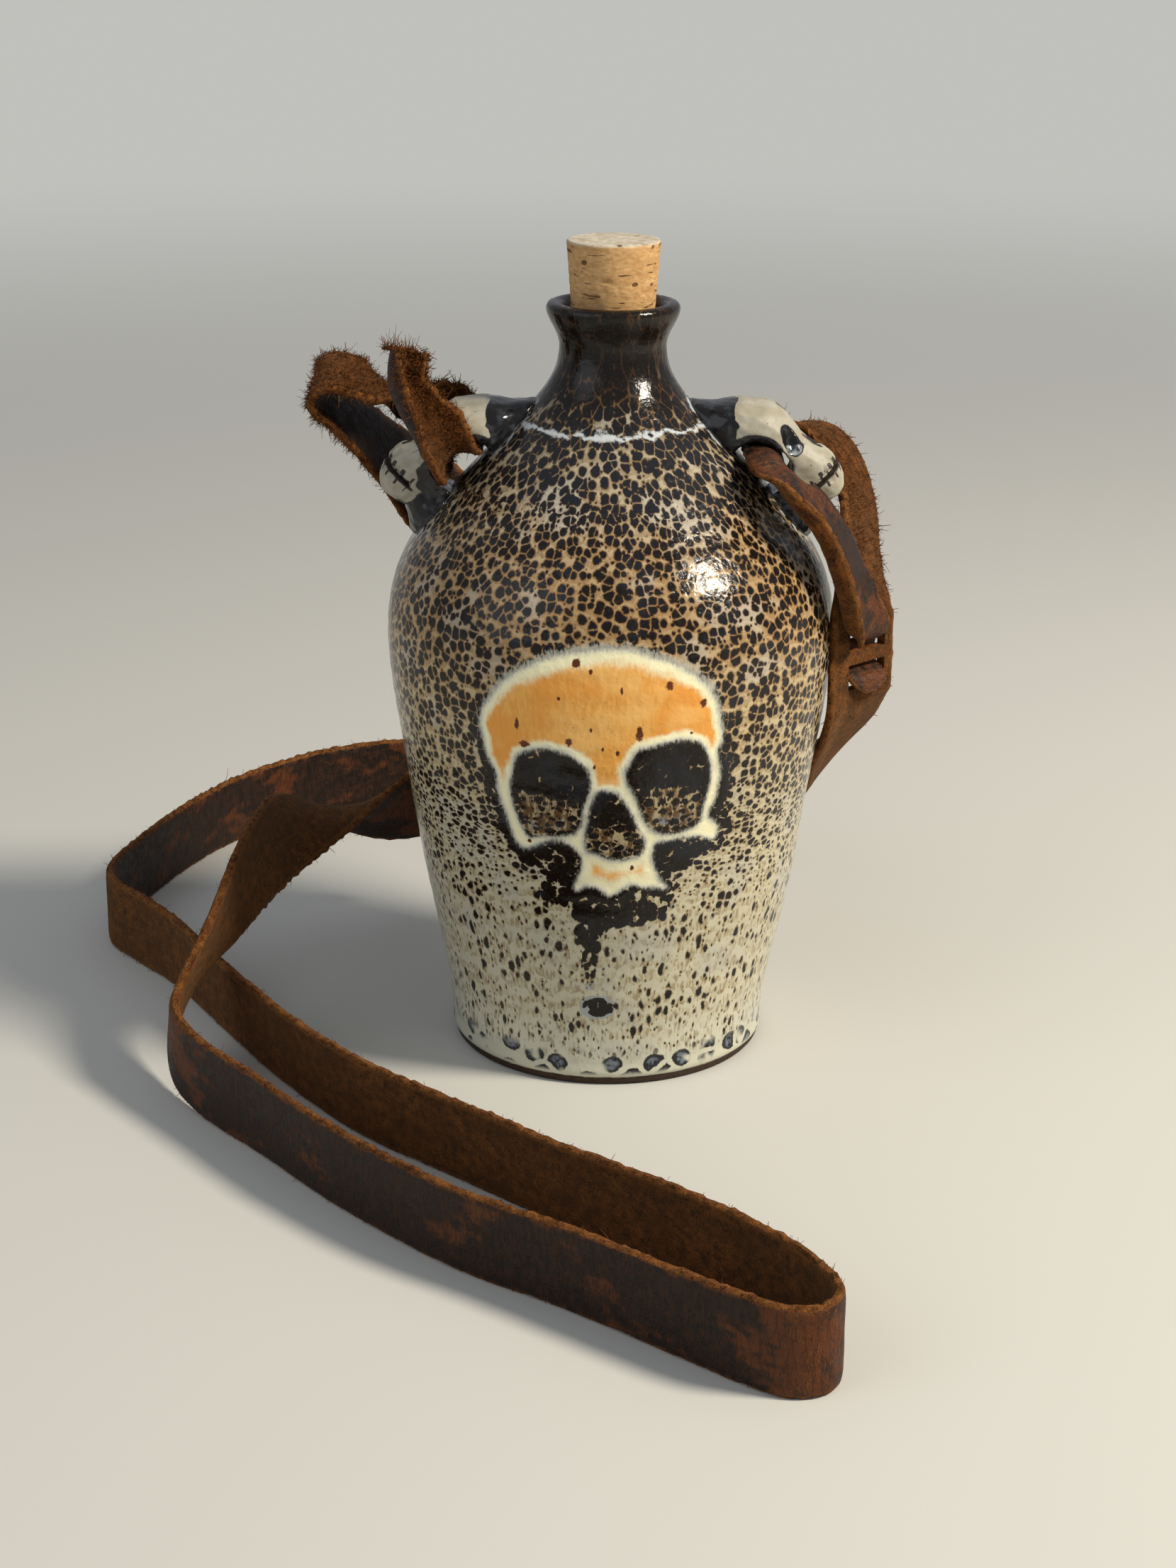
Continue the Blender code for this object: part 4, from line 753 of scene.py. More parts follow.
RIGHT_EYE = ((4, 91.5), (6.5, 95.5), (11, 97), (16.5, 98), (22, 97), (25, 93.5), (26.5, 89), (26.5, 84),
             (25.5, 78.5), (25, 74.5), (21, 72.5), (15.5, 72), (11, 73.5), (8, 78), (6, 83), (3.5, 88))
NOSE = ((-3.5, 84.5), (-0.5, 85), (2.5, 83.5), (5, 80), (7.5, 75), (9.5, 71), (9, 67.5), (6, 66), (1, 65.5),
        (-3.5, 67), (-6.5, 68), (-7, 72), (-6, 78), (-5, 82))
# Dark patches round it, as (arc, height, half width, half height)
DARK_PATCHES = ((-13.5, 63.5, 6.0, 6.0), (-22.0, 67.0, 6.5, 4.5), (-27.0, 74.0, 3.5, 6.5),
                (-15.0, 56.0, 5.0, 4.0), (3.0, 51.5, 14.0, 4.8), (18.0, 65.5, 8.5, 4.0),
                (26.5, 69.0, 4.5, 3.5), (14.5, 60.5, 3.0, 4.0), (-5.0, 45.0, 4.5, 6.0),
                (-6.2, 35.5, 2.4, 6.5), (-3.6, 23.0, 5.4, 3.0))


def inside_outline(points, outline):
    """True for each point within a closed outline: an odd number of its sides lies to the right."""
    x, y = points[:, 0][:, None], points[:, 1][:, None]
    a = np.asarray(outline, float)
    b = np.roll(a, -1, axis=0)
    crossing = (a[:, 1] > y) != (b[:, 1] > y)
    rise = np.where(np.abs(b[:, 1] - a[:, 1]) < 1e-9, 1e-9, b[:, 1] - a[:, 1])
    at = a[:, 0] + (y - a[:, 1]) * (b[:, 0] - a[:, 0]) / rise
    return (crossing & (x < at)).sum(axis=1) % 2 == 1


def rounded_outline(outline, steps=5):
    """The outline with its corners drawn round by a closed curve."""
    p = np.asarray(outline, float)
    t = (np.arange(steps) / steps)[None, :, None]
    return between(*(np.roll(p, k, axis=0)[:, None] for k in (1, 0, -1, -2)), t).reshape(-1, 2)


def depth_in(points, outline):
    """Distance from each point to the outline, positive inside it and negative outside."""
    a = rounded_outline(outline)
    b = np.roll(a, -1, axis=0)
    step = b - a
    best = np.full(len(points), 1e9)
    for start, leg in zip(a, step):
        t = np.clip(((points - start) @ leg) / max(leg @ leg, 1e-9), 0.0, 1.0)
        best = np.minimum(best, np.linalg.norm(points - start - t[:, None] * leg, axis=1))
    return np.where(inside_outline(points, a), best, -best)


def flask_profile():
    """The outer wall from the foot to the lip, about one millimetre a row, and the inner wall back down."""
    def levels(shares, z0, z1, r0, r1):
        return [(mixed(z0, z1, up), mixed(r0, r1, wide)) for up, wide in shares]

    wall = [(FOOT_HEIGHT, FOOT_RADIUS)]
    wall += levels(BELLY, FOOT_HEIGHT, BODY_LEVEL, FOOT_RADIUS, BODY_RADIUS)
    wall += levels(SHOULDER, BODY_LEVEL, NECK_LEVEL, NECK_RADIUS, BODY_RADIUS)
    wall += levels(LIP, NECK_LEVEL, FLASK_HEIGHT, NECK_RADIUS, RIM_RADIUS)
    middle = np.array(wall)[1:, 0]
    fine = np.where((middle > 50.0) & (middle < 126.0), 0.85, 1.05)
    fine = np.where(middle > NECK_LEVEL, 0.7, fine)
    outer = smooth_line(wall, smooth_counts(wall, fine))
    foot = [(0.0, 20.0), (0.0, 34.0), (0.0, 39.3), (0.25, 40.0), (0.8, 40.45), (1.6, 40.5), (2.2, 40.55),
            (2.5, 40.9), (3.0, 41.2), (4.0, 41.25), (5.0, 41.15)]
    return np.vstack([foot, outer, smooth_line(INSIDE, smooth_counts(INSIDE, 4.0))])


def make_flask(mat):
    """The flask, finer at the front, with throwing rings, glaze relief and the values its glaze reads."""
    profile = flask_profile()
    step = np.arange(FLASK_SIDES) * 2.0 * math.pi / FLASK_SIDES
    around = (step - FRONT_CROWD * np.sin(step) + math.pi) % (2.0 * math.pi) - math.pi
    shape = (len(profile), FLASK_SIDES)
    z = np.broadcast_to(profile[:, :1], shape)
    r = np.broadcast_to(profile[:, 1:], shape)
    outer = np.arange(len(profile)) < np.argmax(profile[:, 0]) + 1
    wall = (outer & (profile[:, 0] > WAX_LINE))[:, None]
    rings = 0.045 * np.sin(z * 1.05 + 0.6 * np.sin(z * 0.21))
    rings = rings * eased(z, 6.0, 20.0) * eased(-z, -182.0, -176.0)
    hand = 0.22 * ripple(turned_points(r, around, z), 3, 46.0)
    hand = hand * eased(z, 4.0, 30.0) * eased(-z, -176.0, -150.0)

    # The figure's values, on the wall laid flat: distance into it, dark patches, hollows and upper parts
    front = np.cos(around)[None, :] > FRONT_REACH
    flat = np.stack([around * BODY_RADIUS + 0.0 * z, z], axis=-1)
    figure = depth_in(flat.reshape(-1, 2), CROWN).reshape(shape)
    hollow, brow, dark = np.zeros((3, *shape))
    for hole in (LEFT_EYE, RIGHT_EYE, NOSE):
        inside = depth_in(flat.reshape(-1, 2), hole).reshape(shape)
        low = min(p[1] for p in hole)
        high = max(p[1] for p in hole)
        deeper = 0.04 + 0.96 * eased(-z, -high + 3.0, -low)
        upper = eased(z, mixed(low, high, 0.30), mixed(low, high, 0.62))
        figure = np.minimum(figure, -inside)
        hollow = np.maximum(hollow, eased(inside, 0.0, 3.0) * deeper)
        brow = np.maximum(brow, eased(inside, -0.5, 1.0) * upper)
    figure = np.where(outer[:, None] & front, figure, FIGURE_FAR)
    for arc, level, wide, high in DARK_PATCHES:
        far = np.hypot((flat[..., 0] - arc) / wide, (flat[..., 1] - level) / high)
        dark = np.maximum(dark, 1.0 - eased(far, 0.70, 1.30))

    # Relief: throwing rings and the hand's unevenness, the figure sunk a little, and a raised edge round it
    raised = np.where(wall, rings + hand, 0.0) - 0.16 * eased(figure, -1.0, 1.2)
    raised = raised + 0.14 * np.exp(-((figure + 1.6) / 1.3) ** 2) * wall
    ob = closed_tube("flask_stoneware", turned_points(r + raised, around, z) * MM, mat)

    # Flat places for the cells: round the wall from the front or from the back
    run = run_along(profile)
    run = np.broadcast_to(run[:, None] - run[np.argmax(profile[:, 0] >= FOOT_HEIGHT)], shape)
    turned_back = (around + 2.0 * math.pi) % (2.0 * math.pi) - math.pi
    for name, arc in (("front_place", around), ("back_place", turned_back)):
        flat_place = np.stack([arc * BODY_RADIUS + 0.0 * z, run, 0.0 * z], axis=-1).reshape(-1, 3)
        set_values(ob, name, np.vstack([flat_place, np.zeros((2, 3))]))
    inner = np.broadcast_to(~outer[:, None], shape)
    kept = {"figure": np.clip(figure, FIGURE_FAR, 30.0), "shade": dark * front, "socket": hollow * front,
            "brow": brow * front, "inner": inner}
    for name, values in kept.items():
        set_values(ob, name, np.append(values.ravel(), [0.0, float(name == "inner")]))
    return ob


# Skull lugs: the solid's own shape, made smooth, with a flared and glazed foot and finer teeth
LUG_VOXEL = 0.36 * MM
LUG_TOP_SHARE = 0.795
LUG_LOW_SHARE = 0.43
EYE = (21.6, 13.2)
HEAD_MIDDLE = 0.59 * 17.9


def wall_radius(level):
    """Radius of the shoulder at a height, in millimetres, along straight lines between its levels."""
    z = [mixed(BODY_LEVEL, NECK_LEVEL, up) for up, _ in SHOULDER]
    r = [mixed(NECK_RADIUS, BODY_RADIUS, wide) for _, wide in SHOULDER]
    return np.interp(level, z, r)


def lug_place(points, side):
    """The points in the lug's own frame, in millimetres: out from the neck, up from the shoulder, across."""
    top = mixed(BODY_LEVEL, NECK_LEVEL, LUG_TOP_SHARE)
    low = mixed(BODY_LEVEL, NECK_LEVEL, LUG_LOW_SHARE)
    start = wall_radius(top)
    slope = math.atan2(top - low, wall_radius(low) - start)
    x = side * points[:, 0] / MM - start
    z = points[:, 2] / MM - top
    along = x * math.cos(slope) - z * math.sin(slope)
    rise = x * math.sin(slope) + z * math.cos(slope)
    return along, rise, points[:, 1] / MM


def make_lug(node, side, mat):
    """A smooth copy of a lug: remeshed in small cubes, relaxed, and given its hand-cut marks."""
    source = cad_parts[node]
    bm = bmesh.new()
    bm.from_mesh(source.data)
    bmesh.ops.remove_doubles(bm, verts=bm.verts, dist=0.02 * MM)
    mesh = bpy.data.meshes.new("lug_start")
    bm.to_mesh(mesh)
    bm.free()
    ob = new_object(node.replace("lug_skull", "skull_lug"), mesh)
    remesh = ob.modifiers.new("remesh", "REMESH")
    remesh.mode = "VOXEL"
    remesh.voxel_size = LUG_VOXEL
    remesh.adaptivity = 0.0
    relax = ob.modifiers.new("relax", "SMOOTH")
    relax.factor = 0.5
    relax.iterations = 7
    deps = bpy.context.evaluated_depsgraph_get()
    fine = bpy.data.meshes.new_from_object(ob.evaluated_get(deps))
    ob.modifiers.clear()
    ob.data = fine
    fine.name = ob.name
    fine.materials.clear()
    fine.materials.append(mat)
    fine.shade_smooth()
    points = points_of(ob)
    normals = np.empty(len(points) * 3, np.float32)
    fine.vertex_normals.foreach_get("vector", normals)
    normals = normals.reshape(-1, 3)
    along, rise, across = lug_place(points, side)
    place = points / MM
    gap = np.hypot(place[:, 0], place[:, 1]) - wall_radius(place[:, 2])
    carve = 0.12 * ripple(place, 51 + int(side), 7.0) + 0.05 * ripple(place, 53, 2.6)
    sink = -0.55 * (1.0 - eased(gap, 0.3, 1.6))
    set_points(ob, points + (normals * carve[:, None] + unit(points * (1.0, 1.0, 0.0)) * sink[:, None]) * MM)

    # Glazed hollows: eye sockets, back of the head, tunnel arch, under the jaw, inside, and one cheek
    out_of_eye, over_eye = along - EYE[0], rise - EYE[1]
    tear = 1.0 + 0.30 * out_of_eye / 4.1
    eye = np.hypot((out_of_eye + 0.35 * over_eye) / 4.3, over_eye / (2.5 * tear))
    pool = (1.0 - eased(eye, 0.85, 1.15)) * eased(np.abs(across), 5.0, 8.0)
    eye = pool * eased(out_of_eye - 0.8 * over_eye, 0.2, 2.6)
    head = 1.0 - eased(along + 0.95 * (rise - 8.5) + 0.9 * ripple(place, 55, 9.0), 5.9, 7.1)
    head = np.maximum(head, (1.0 - eased(along, 9.5, 11.0)) * (1.0 - eased(rise, 5.5, 6.5)))
    tunnel = np.hypot((along - 21.9) / 9.2, rise / 11.2)
    arch = (1.0 - eased(tunnel + 0.022 * (along - 14.0), 0.98, 1.16)) * eased(np.abs(across), 3.0, 6.0)
    jaw = (1.0 - eased(rise + 0.35 * ripple(place, 57, 5.0) - 0.16 * (along - 30.0), 4.2, 5.8))
    jaw = jaw * eased(along, 24.0, 28.0)
    chin = 1.0 - eased(rise, 2.4, 3.4)
    inner = eased(-np.abs(across), -6.5, -3.0) * (1.0 - eased(rise, 9.0, 11.0)) * eased(along, 8.0, 12.0)
    cheek = np.hypot((along - 27.8) / 6.4, (rise - 4.6) / 6.6)
    cheek = (1.0 - eased(cheek + 0.12 * ripple(place, 58, 5.0), 0.86, 1.06)) * (side < 0.0)
    dark = np.maximum.reduce([pool, head, arch, jaw, chin * 0.9, inner, cheek])
    set_values(ob, "dark", np.clip(dark, 0.0, 1.0))
    # Eye: the outer, lower part of each eye socket, where a painted highlight goes
    set_values(ob, "eye", eye)
    set_values(ob, "seat", 1.0 - eased(gap, 0.2, 1.4))

    # Strokes: the line of the mouth, a comb of teeth above and below it, and two nostrils
    groove = np.exp(-((along - 35.5) / 0.50) ** 2) * eased(rise, 6.0, 9.0)
    upper = eased(along, 32.2, 33.2) * eased(-along, -35.7, -35.2) * eased(rise, 7.0, 9.5)
    lower = eased(along, 35.3, 35.8) * eased(-along, -37.8, -37.0) * eased(rise, 7.0, 9.5)
    turn = np.degrees(np.arctan2(across, rise - HEAD_MIDDLE))
    gaps = np.abs((turn + 12.5) % 25.0 - 12.5)
    seen = np.abs(turn) < 100.0
    teeth = np.maximum(upper * np.exp(-(gaps / 5.2) ** 2), lower * np.exp(-(gaps / 3.0) ** 2)) * seen
    nostril = np.hypot((along - 26.6) / 3.2, (np.abs(across) - 1.6) / 1.5)
    snout = np.exp(-nostril ** 4) * eased(rise, 11.0, 13.0)
    set_values(ob, "strokes", np.clip(np.maximum.reduce([groove, teeth, snout]), 0.0, 1.0))
    return ob


# Cork: a tapered stopper cut from bark, its grain running across
CORK_TOP = 209.8
CORK_LOW = 178.6
CORK_SIDES = 160
CORK_RADIUS = 9.95
CORK_TAPER = 0.077
CORK_RIM = 0.9


def make_cork(mat):
    """A tapered peg: radius 9.95 mm + 0.077 of the height over the bore, with pits and a soft worn rim."""
    bore_top = mixed(NECK_LEVEL, FLASK_HEIGHT, 0.28)
    near_top = CORK_TOP - np.array([0.7, 0.4, 0.18, 0.05])
    z = np.concatenate([np.linspace(CORK_LOW, CORK_TOP - 1.0, 58), near_top])
    r = CORK_RADIUS + CORK_TAPER * (z - bore_top)
    under_rim = 1.0 - np.clip((CORK_TOP - z) / CORK_RIM, 0.0, 1.0)
    r = r - CORK_RIM * (1.0 - np.sqrt(np.clip(1.0 - under_rim ** 2, 0.0, 1.0)))
    r[0] -= 0.7
    cap = np.linspace(r[-1] - 0.45, 0.5, 16)
    profile = [(CORK_LOW, x) for x in np.linspace(0.6, r[0], 6)[:-1]]
    profile += list(zip(z, r)) + [(CORK_TOP, x) for x in cap]
    turns = np.arange(CORK_SIDES) * 2.0 * math.pi / CORK_SIDES
    level, radius = np.array(profile).T[..., None] * MM
    ob = closed_tube("cork_stopper", turned_points(radius, turns, level), mat)
    points = points_of(ob) / MM
    out = points * (1.0, 1.0, 0.0)
    far = np.linalg.norm(out, axis=1)
    grain = ripple(points * (1.0, 1.0, 2.4), 61, 3.2)
    fine = ripple(points, 62, 1.3)
    pit = np.clip(ripple(points * (0.8, 0.8, 2.6), 63, 4.4) - 0.95, 0.0, 1.0)
    side = (points[:, 2] < CORK_TOP - 0.3) & (points[:, 2] > CORK_LOW + 0.3)
    move = np.where(side, 0.06 * grain + 0.035 * fine - 0.9 * pit, 0.0)
    points += unit(out) * move[:, None] * (far > 4.0)[:, None]
    top = points[:, 2] > CORK_TOP - 0.06
    worn = 0.05 + 0.05 * grain + 0.25 * np.clip(ripple(points, 64, 3.4) - 0.8, 0.0, 1.0)
    points[:, 2] -= np.where(top, worn, 0.0)
    set_points(ob, points * MM)
    set_values(ob, "top", eased(points[:, 2], CORK_TOP - 0.8, CORK_TOP - 0.2))
    return ob


# Finishes
def make_cell_group():
    """Round dark cells in a light web, on a flat place in millimetres. Depth, in millimetres, is over 0 in a
    cell: the lesser of its own radius less the distance from its centre, and the distance from its border
    less Web. Rise is how far the place lies above the centre of its cell."""
    inputs = {"Vector": None, "Size": 3.0, "Web": 0.1, "Radius": 0.5, "Spread": 0.5}
    s, given, result = new_group("glaze_cells", inputs, ("Depth", "Rise"))
    size = given["Size"]
    place = given["Vector"]
    keys = {"Vector": place, "Scale": s.math("DIVIDE", 1.0, size), "Randomness": 0.9}
    near = s.node("TexVoronoi", keys, voronoi_dimensions="2D")
    edge = s.node("TexVoronoi", keys, voronoi_dimensions="2D", feature="DISTANCE_TO_EDGE")
    tone = s.parts(near["Color"])[0]
    radius = given["Radius"] + (tone - 0.5) * given["Spread"]
    inner = radius - near["Distance"] * size
    border = edge["Distance"] * size - given["Web"]
    away = s.vector_math("SUBTRACT", place, near["Position"])
    depth = s.math("SMOOTH_MIN", inner, border, 0.30)
    s.fill(result, {"Depth": depth, "Rise": s.node("SeparateXYZ", {0: away})[1]})


def make_speck_group():
    """Small scattered specks: 1 inside a speck and 0 outside. Share is how many of the cells hold one."""
    inputs = {"Vector": None, "Spacing": 5.0, "Radius": 0.1, "Share": 0.5}
    s, given, result = new_group("scattered_specks", inputs, ("Mask",))
    scale = s.math("DIVIDE", 1.0, given["Spacing"])
    near = s.node("TexVoronoi", {"Vector": given["Vector"], "Scale": scale})
    parts = s.parts(near["Color"])
    present = s.math("LESS_THAN", parts[0], given["Share"])
    radius = given["Radius"] * (0.55 + parts[1])
    mask = s.span(near["Distance"], radius * 1.15, radius * 0.75)
    s.fill(result, {"Mask": mask * present})


GLAZE_TOP = 184.0


def by_height(s, height, stops):
    """A colour by height in millimetres, from rows of (height, (red, green, blue)) up to GLAZE_TOP."""
    ramp = s.node("ValToRGB", {0: s.node("MapRange", {0: height, 2: GLAZE_TOP})[0]})
    band = ramp.node.color_ramp
    band.interpolation = "EASE"
    while len(band.elements) < len(stops):
        band.elements.new(0.5)
    for element, (place, colour) in zip(band.elements, stops):
        element.position = place / GLAZE_TOP
        element.color = (*colour, 1.0)
    return ramp[0]


INK = (0.0075, 0.0055, 0.0045)
# Blue-black of the dark cells: the glaze's own tone in random patches, and a painted reflection of the sky on
# the upper shoulder
INK_BLUE_AND_SKY_REFLECTION = (0.012, 0.014, 0.019)
FRINGE = (0.050, 0.023, 0.009)
WEB_COLOURS = ((0.0, (0.40, 0.39, 0.28)), (8.0, (0.58, 0.57, 0.43)), (24.0, (0.50, 0.45, 0.28)),
               (50.0, (0.47, 0.42, 0.26)), (78.0, (0.38, 0.31, 0.175)), (100.0, (0.34, 0.235, 0.110)),
               (122.0, (0.29, 0.170, 0.068)), (142.0, (0.26, 0.160, 0.070)), (156.0, (0.26, 0.205, 0.125)),
               (166.0, (0.19, 0.14, 0.07)), (174.0, (0.060, 0.034, 0.014)), (182.0, (0.016, 0.012, 0.008)))
CREST_COLOURS = ((0.0, (0.62, 0.62, 0.52)), (24.0, (0.60, 0.57, 0.43)), (60.0, (0.58, 0.53, 0.38)),
                 (100.0, (0.55, 0.44, 0.26)), (130.0, (0.42, 0.29, 0.145)), (150.0, (0.46, 0.38, 0.26)),
                 (166.0, (0.34, 0.30, 0.22)), (174.0, (0.07, 0.042, 0.018)), (182.0, (0.016, 0.012, 0.008)))
# By height: radius of the cells, half width of the web and radius of the small cells, in units of 2 mm, so
# that each stays within 0 to 1 like the parts of a colour
CELL_VALUES = ((0.0, (0.0, 0.20, 0.04)), (12.0, (0.04, 0.20, 0.05)), (30.0, (0.10, 0.20, 0.05)),
               (44.0, (0.18, 0.19, 0.05)), (58.0, (0.31, 0.18, 0.06)), (76.0, (0.45, 0.16, 0.06)),
               (96.0, (0.53, 0.145, 0.06)), (120.0, (0.58, 0.135, 0.06)), (140.0, (0.61, 0.12, 0.07)),
               (156.0, (0.66, 0.105, 0.10)), (166.0, (0.76, 0.085, 0.20)), (178.0, (1.0, 0.0, 0.40)))
# Iron spots in the amber, as (place across, height, half width, half height) in millimetres
IRON_SPOTS = ((-8.5, 117.5, 1.04, 1.09), (-12.7, 108.5, 0.43, 0.55), (-22.8, 101.0, 0.52, 1.46),
              (-21.0, 95.9, 1.22, 0.82), (-10.2, 97.4, 0.78, 1.09), (6.8, 99.8, 0.96, 1.73),
              (13.9, 111.9, 0.96, 1.09), (22.2, 106.8, 0.78, 1.09), (5.4, 63.5, 0.52, 0.73),
              (-19.8, 69.5, 0.52, 0.55), (-2.0, 95.8, 0.35, 0.64), (1.5, 94.9, 0.43, 0.73),
              (-4.9, 100.7, 0.35, 0.55), (2.4, 110.8, 0.35, 1.09), (-5.0, 115.5, 0.43, 0.64),
              (19.4, 99.3, 0.35, 0.36), (-4.0, 91.2, 0.35, 0.73))


def make_glaze():
    """Dark cells in a web that turns cream toward the foot, white seams, a hem of drops, and the figure."""
    mat, shader, s = new_material("speckled_glaze")
    place = s.millimetres()
    split = s.node("SeparateXYZ", {0: place})
    height = split[2]
    wavy = height + s.wave(place, 15.0) * 20.0
    figure = s.attribute("figure")
    values = s.parts(by_height(s, wavy, CELL_VALUES))
    radius, web = values[0] * 2.0, values[1] * 2.0

    # The flat place of the cells changes from front to back and from wall to shoulder along a wandering line
    stray = s.wave(place, 5.0) * 9.0
    behind = s.math("GREATER_THAN", split[1] + stray, 0.0)
    above = s.math("GREATER_THAN", height + stray, 149.0)
    back = s.shift(s.vector("back_place"), (431.0, 217.0, 0.0))
    side = s.node("Mix", {0: behind, 4: s.vector("front_place"), 5: back}, data_type="VECTOR")[1]
    plan = s.shift(s.stretch(place, (1.18, 1.18, 0.0)), (800.0, 700.0, 0.0))
    flat = s.node("Mix", {0: above, 4: side, 5: plan}, data_type="VECTOR")[1]
    flat = s.shift(flat, s.shift(s.push(place, 3.4, 1.2), s.push(place, 0.95, 0.34)))
    low = s.span(height, 84.0, 46.0)
    tall = s.node("CombineXYZ", {0: 1.0, 1: 1.0 - low * 0.30, 2: 1.0})[0]
    flat = s.stretch(flat, tall)
    lumpy = s.wave(place, 2.2)
    grit = s.wave(s.stretch(place, (1.0, 1.0, 0.7)), 0.42, 3.0, 0.7)
    runs = s.wave(s.stretch(place, (1.0, 1.0, 0.24)), 0.36, 2.0, 0.6)
    halo = s.span(figure + lumpy * 7.0, -6.0, -1.8) * s.span(wavy, 114.0, 96.0)
    socket = s.attribute("socket")
    brow = s.attribute("brow")
    shade = s.attribute("shade")
    push = s.most(halo, s.most(shade, brow))
    push = push * (0.95 + lumpy) - socket * 0.42
    clump = s.wave(s.stretch(place, (1.0, 1.0, 0.6)), 8.0) * low * 3.4
    radius = radius + clump - low * 0.12 + push * 0.95
    web = web * (1.0 - push * 0.78)
    cells = s.group("glaze_cells", {"Vector": flat, "Size": 2.95, "Web": web, "Radius": radius,
                                    "Spread": 0.95 + low * 0.75})
    fine = s.group("glaze_cells", {"Vector": s.shift(flat, (37.0, 11.0, 0.0)), "Size": 1.7, "Web": 0.14,
                                   "Radius": values[2] * 2.0 - low * 0.30, "Spread": 1.0})
    wide = s.group("glaze_cells", {"Vector": s.shift(flat, (91.0, 53.0, 0.0)), "Size": 7.4, "Web": 0.6,
                                   "Radius": radius - 1.15, "Spread": 2.4})
    depth = s.math("SMOOTH_MAX", cells[0], fine[0], 0.12)
    depth = s.math("SMOOTH_MAX", depth, wide[0], 0.25)
    above = s.span(cells[1], -0.5, 0.5)
    depth = depth + grit * 0.36 + (1.0 - above) * runs * 0.5
    depth = depth + brow * (0.55 + lumpy * 1.6)
    beside = halo * s.span(socket, 0.10, 0.0) * s.span(height, 96.0, 84.0)
    solid = s.span(s.most(shade, beside) * (1.0 + lumpy), 0.35, 0.95)
    near_foot = s.span(height, 31.0, 28.0)
    weight = 0.36 + low * 0.34 + near_foot * 0.8
    depth = depth + solid * (weight + lumpy * 2.1)
    depth = depth + s.span(socket, 0.1, 0.6) * runs * 1.5

    # Web: tan to cream by height, with fine streaks running down the wall and pale crests
    streak = s.noise(s.stretch(place, (1.0, 1.0, 0.17)), 0.80, 2.0, 0.6)
    web_colour = by_height(s, wavy, WEB_COLOURS)
    crest_colour = by_height(s, wavy, CREST_COLOURS)
    web_colour = s.blend(s.span(streak, 0.46, 0.60) * (0.25 + low * 0.55), web_colour, (0.21, 0.115, 0.040))
    crest = s.span(depth + lumpy * 0.9, -0.22, -0.60) * (0.30 + above * 0.6)
    crest = crest + s.span(streak, 0.46, 0.36) * 0.35
    web_colour = s.blend(s.least(crest, 0.9), web_colour, crest_colour)
    cloud = s.span(s.noise(place, 13.0), 0.50, 0.68)
    web_colour = s.blend(cloud * 0.45, web_colour, (0.47, 0.47, 0.42))
    socket_tone = s.span(s.noise(s.stretch(place, (1.0, 1.0, 0.3)), 1.2), 0.42, 0.62)
    socket_colour = s.blend(socket_tone, (0.12, 0.062, 0.024), (0.42, 0.34, 0.20))
    web_colour = s.blend(s.span(socket, 0.05, 0.5), web_colour, socket_colour)
    pool = s.span(socket + lumpy * 0.5, 0.84, 1.0) * 0.9
    web_colour = s.blend(pool, web_colour, (0.20, 0.22, 0.25))
    colour = s.blend(s.span(depth, -0.28, 0.05), web_colour, FRINGE)
    # Blue-black cells: in random patches below the neck as the glaze's own tone, and all round the upper
    # shoulder from 138 to 170 mm as a painted reflection of the sky
    blue = s.span(s.noise(place, 9.0), 0.48, 0.66) * s.span(wavy, 170.0, 160.0)
    blue = blue + s.span(wavy, 138.0, 156.0) * s.span(wavy, 172.0, 163.0)
    ink = s.blend(s.least(blue, 1.0), INK, INK_BLUE_AND_SKY_REFLECTION)
    ink = s.blend(s.span(s.noise(place, 0.8, 3.0, 0.65), 0.50, 0.72) * 0.50, ink, (0.040, 0.027, 0.013))
    colour = s.blend(s.span(depth, -0.06, 0.22), colour, ink)
    mist = s.span(s.most(wide[0], cells[0] - 0.5), -0.9, 0.2) * low * 0.62
    rim = s.span(shade, 0.02, 0.30) * near_foot * 0.8
    colour = s.blend(s.most(mist, rim) * s.span(depth, 0.1, -0.2), colour, (0.33, 0.37, 0.38))

    # White seams: a broken ring at the root of the neck, and round the feet of the lugs
    wobble = s.wave(place, 6.0, 3.0) * 5.5 + grit * 1.2
    level = s.math("ABSOLUTE", height + wobble - 165.3)
    seam = s.span(level, 0.75, 0.15) * s.span(s.noise(place, 2.6), 0.34, 0.46)
    lug_gap = s.attribute("lug_gap") + lumpy * 3.0
    lug_seam = s.span(lug_gap, 2.2, 0.6) * s.span(s.noise(place, 3.0), 0.46, 0.58)
    seam = s.most(seam, lug_seam)
    colour = s.blend(seam, colour, (0.52, 0.55, 0.56))

    # Hem: pale, with wide blue-grey drops, over a line of bare clay
    hem_cells = s.group("glaze_cells", {"Vector": s.stretch(s.shift(flat, (0.0, 5.0, 0.0)), (0.80, 1.9, 1.0)),
                                        "Size": 8.6, "Web": 0.5, "Radius": 3.6, "Spread": 0.6})
    band = s.span(height, 2.6, 4.2) * s.span(height, 11.5, 7.5)
    drop = s.span(hem_cells[0] + grit * 0.9 + lumpy, 0.15, 0.55) * band
    drop = drop * s.span(s.noise(place, 7.0), 0.40, 0.50)
    hem_colour = s.blend(s.span(height + lumpy * 3.0, 10.5, 5.0), colour, (0.58, 0.57, 0.45))
    drop_tone = s.span(hem_cells[0], 0.9, 2.0)
    drop_tone = drop_tone * s.span(s.noise(place, 1.2), 0.38, 0.60)
    drop_colour = s.blend(drop_tone, (0.016, 0.016, 0.018), (0.15, 0.18, 0.22))
    colour = s.blend(drop, hem_colour, drop_colour)

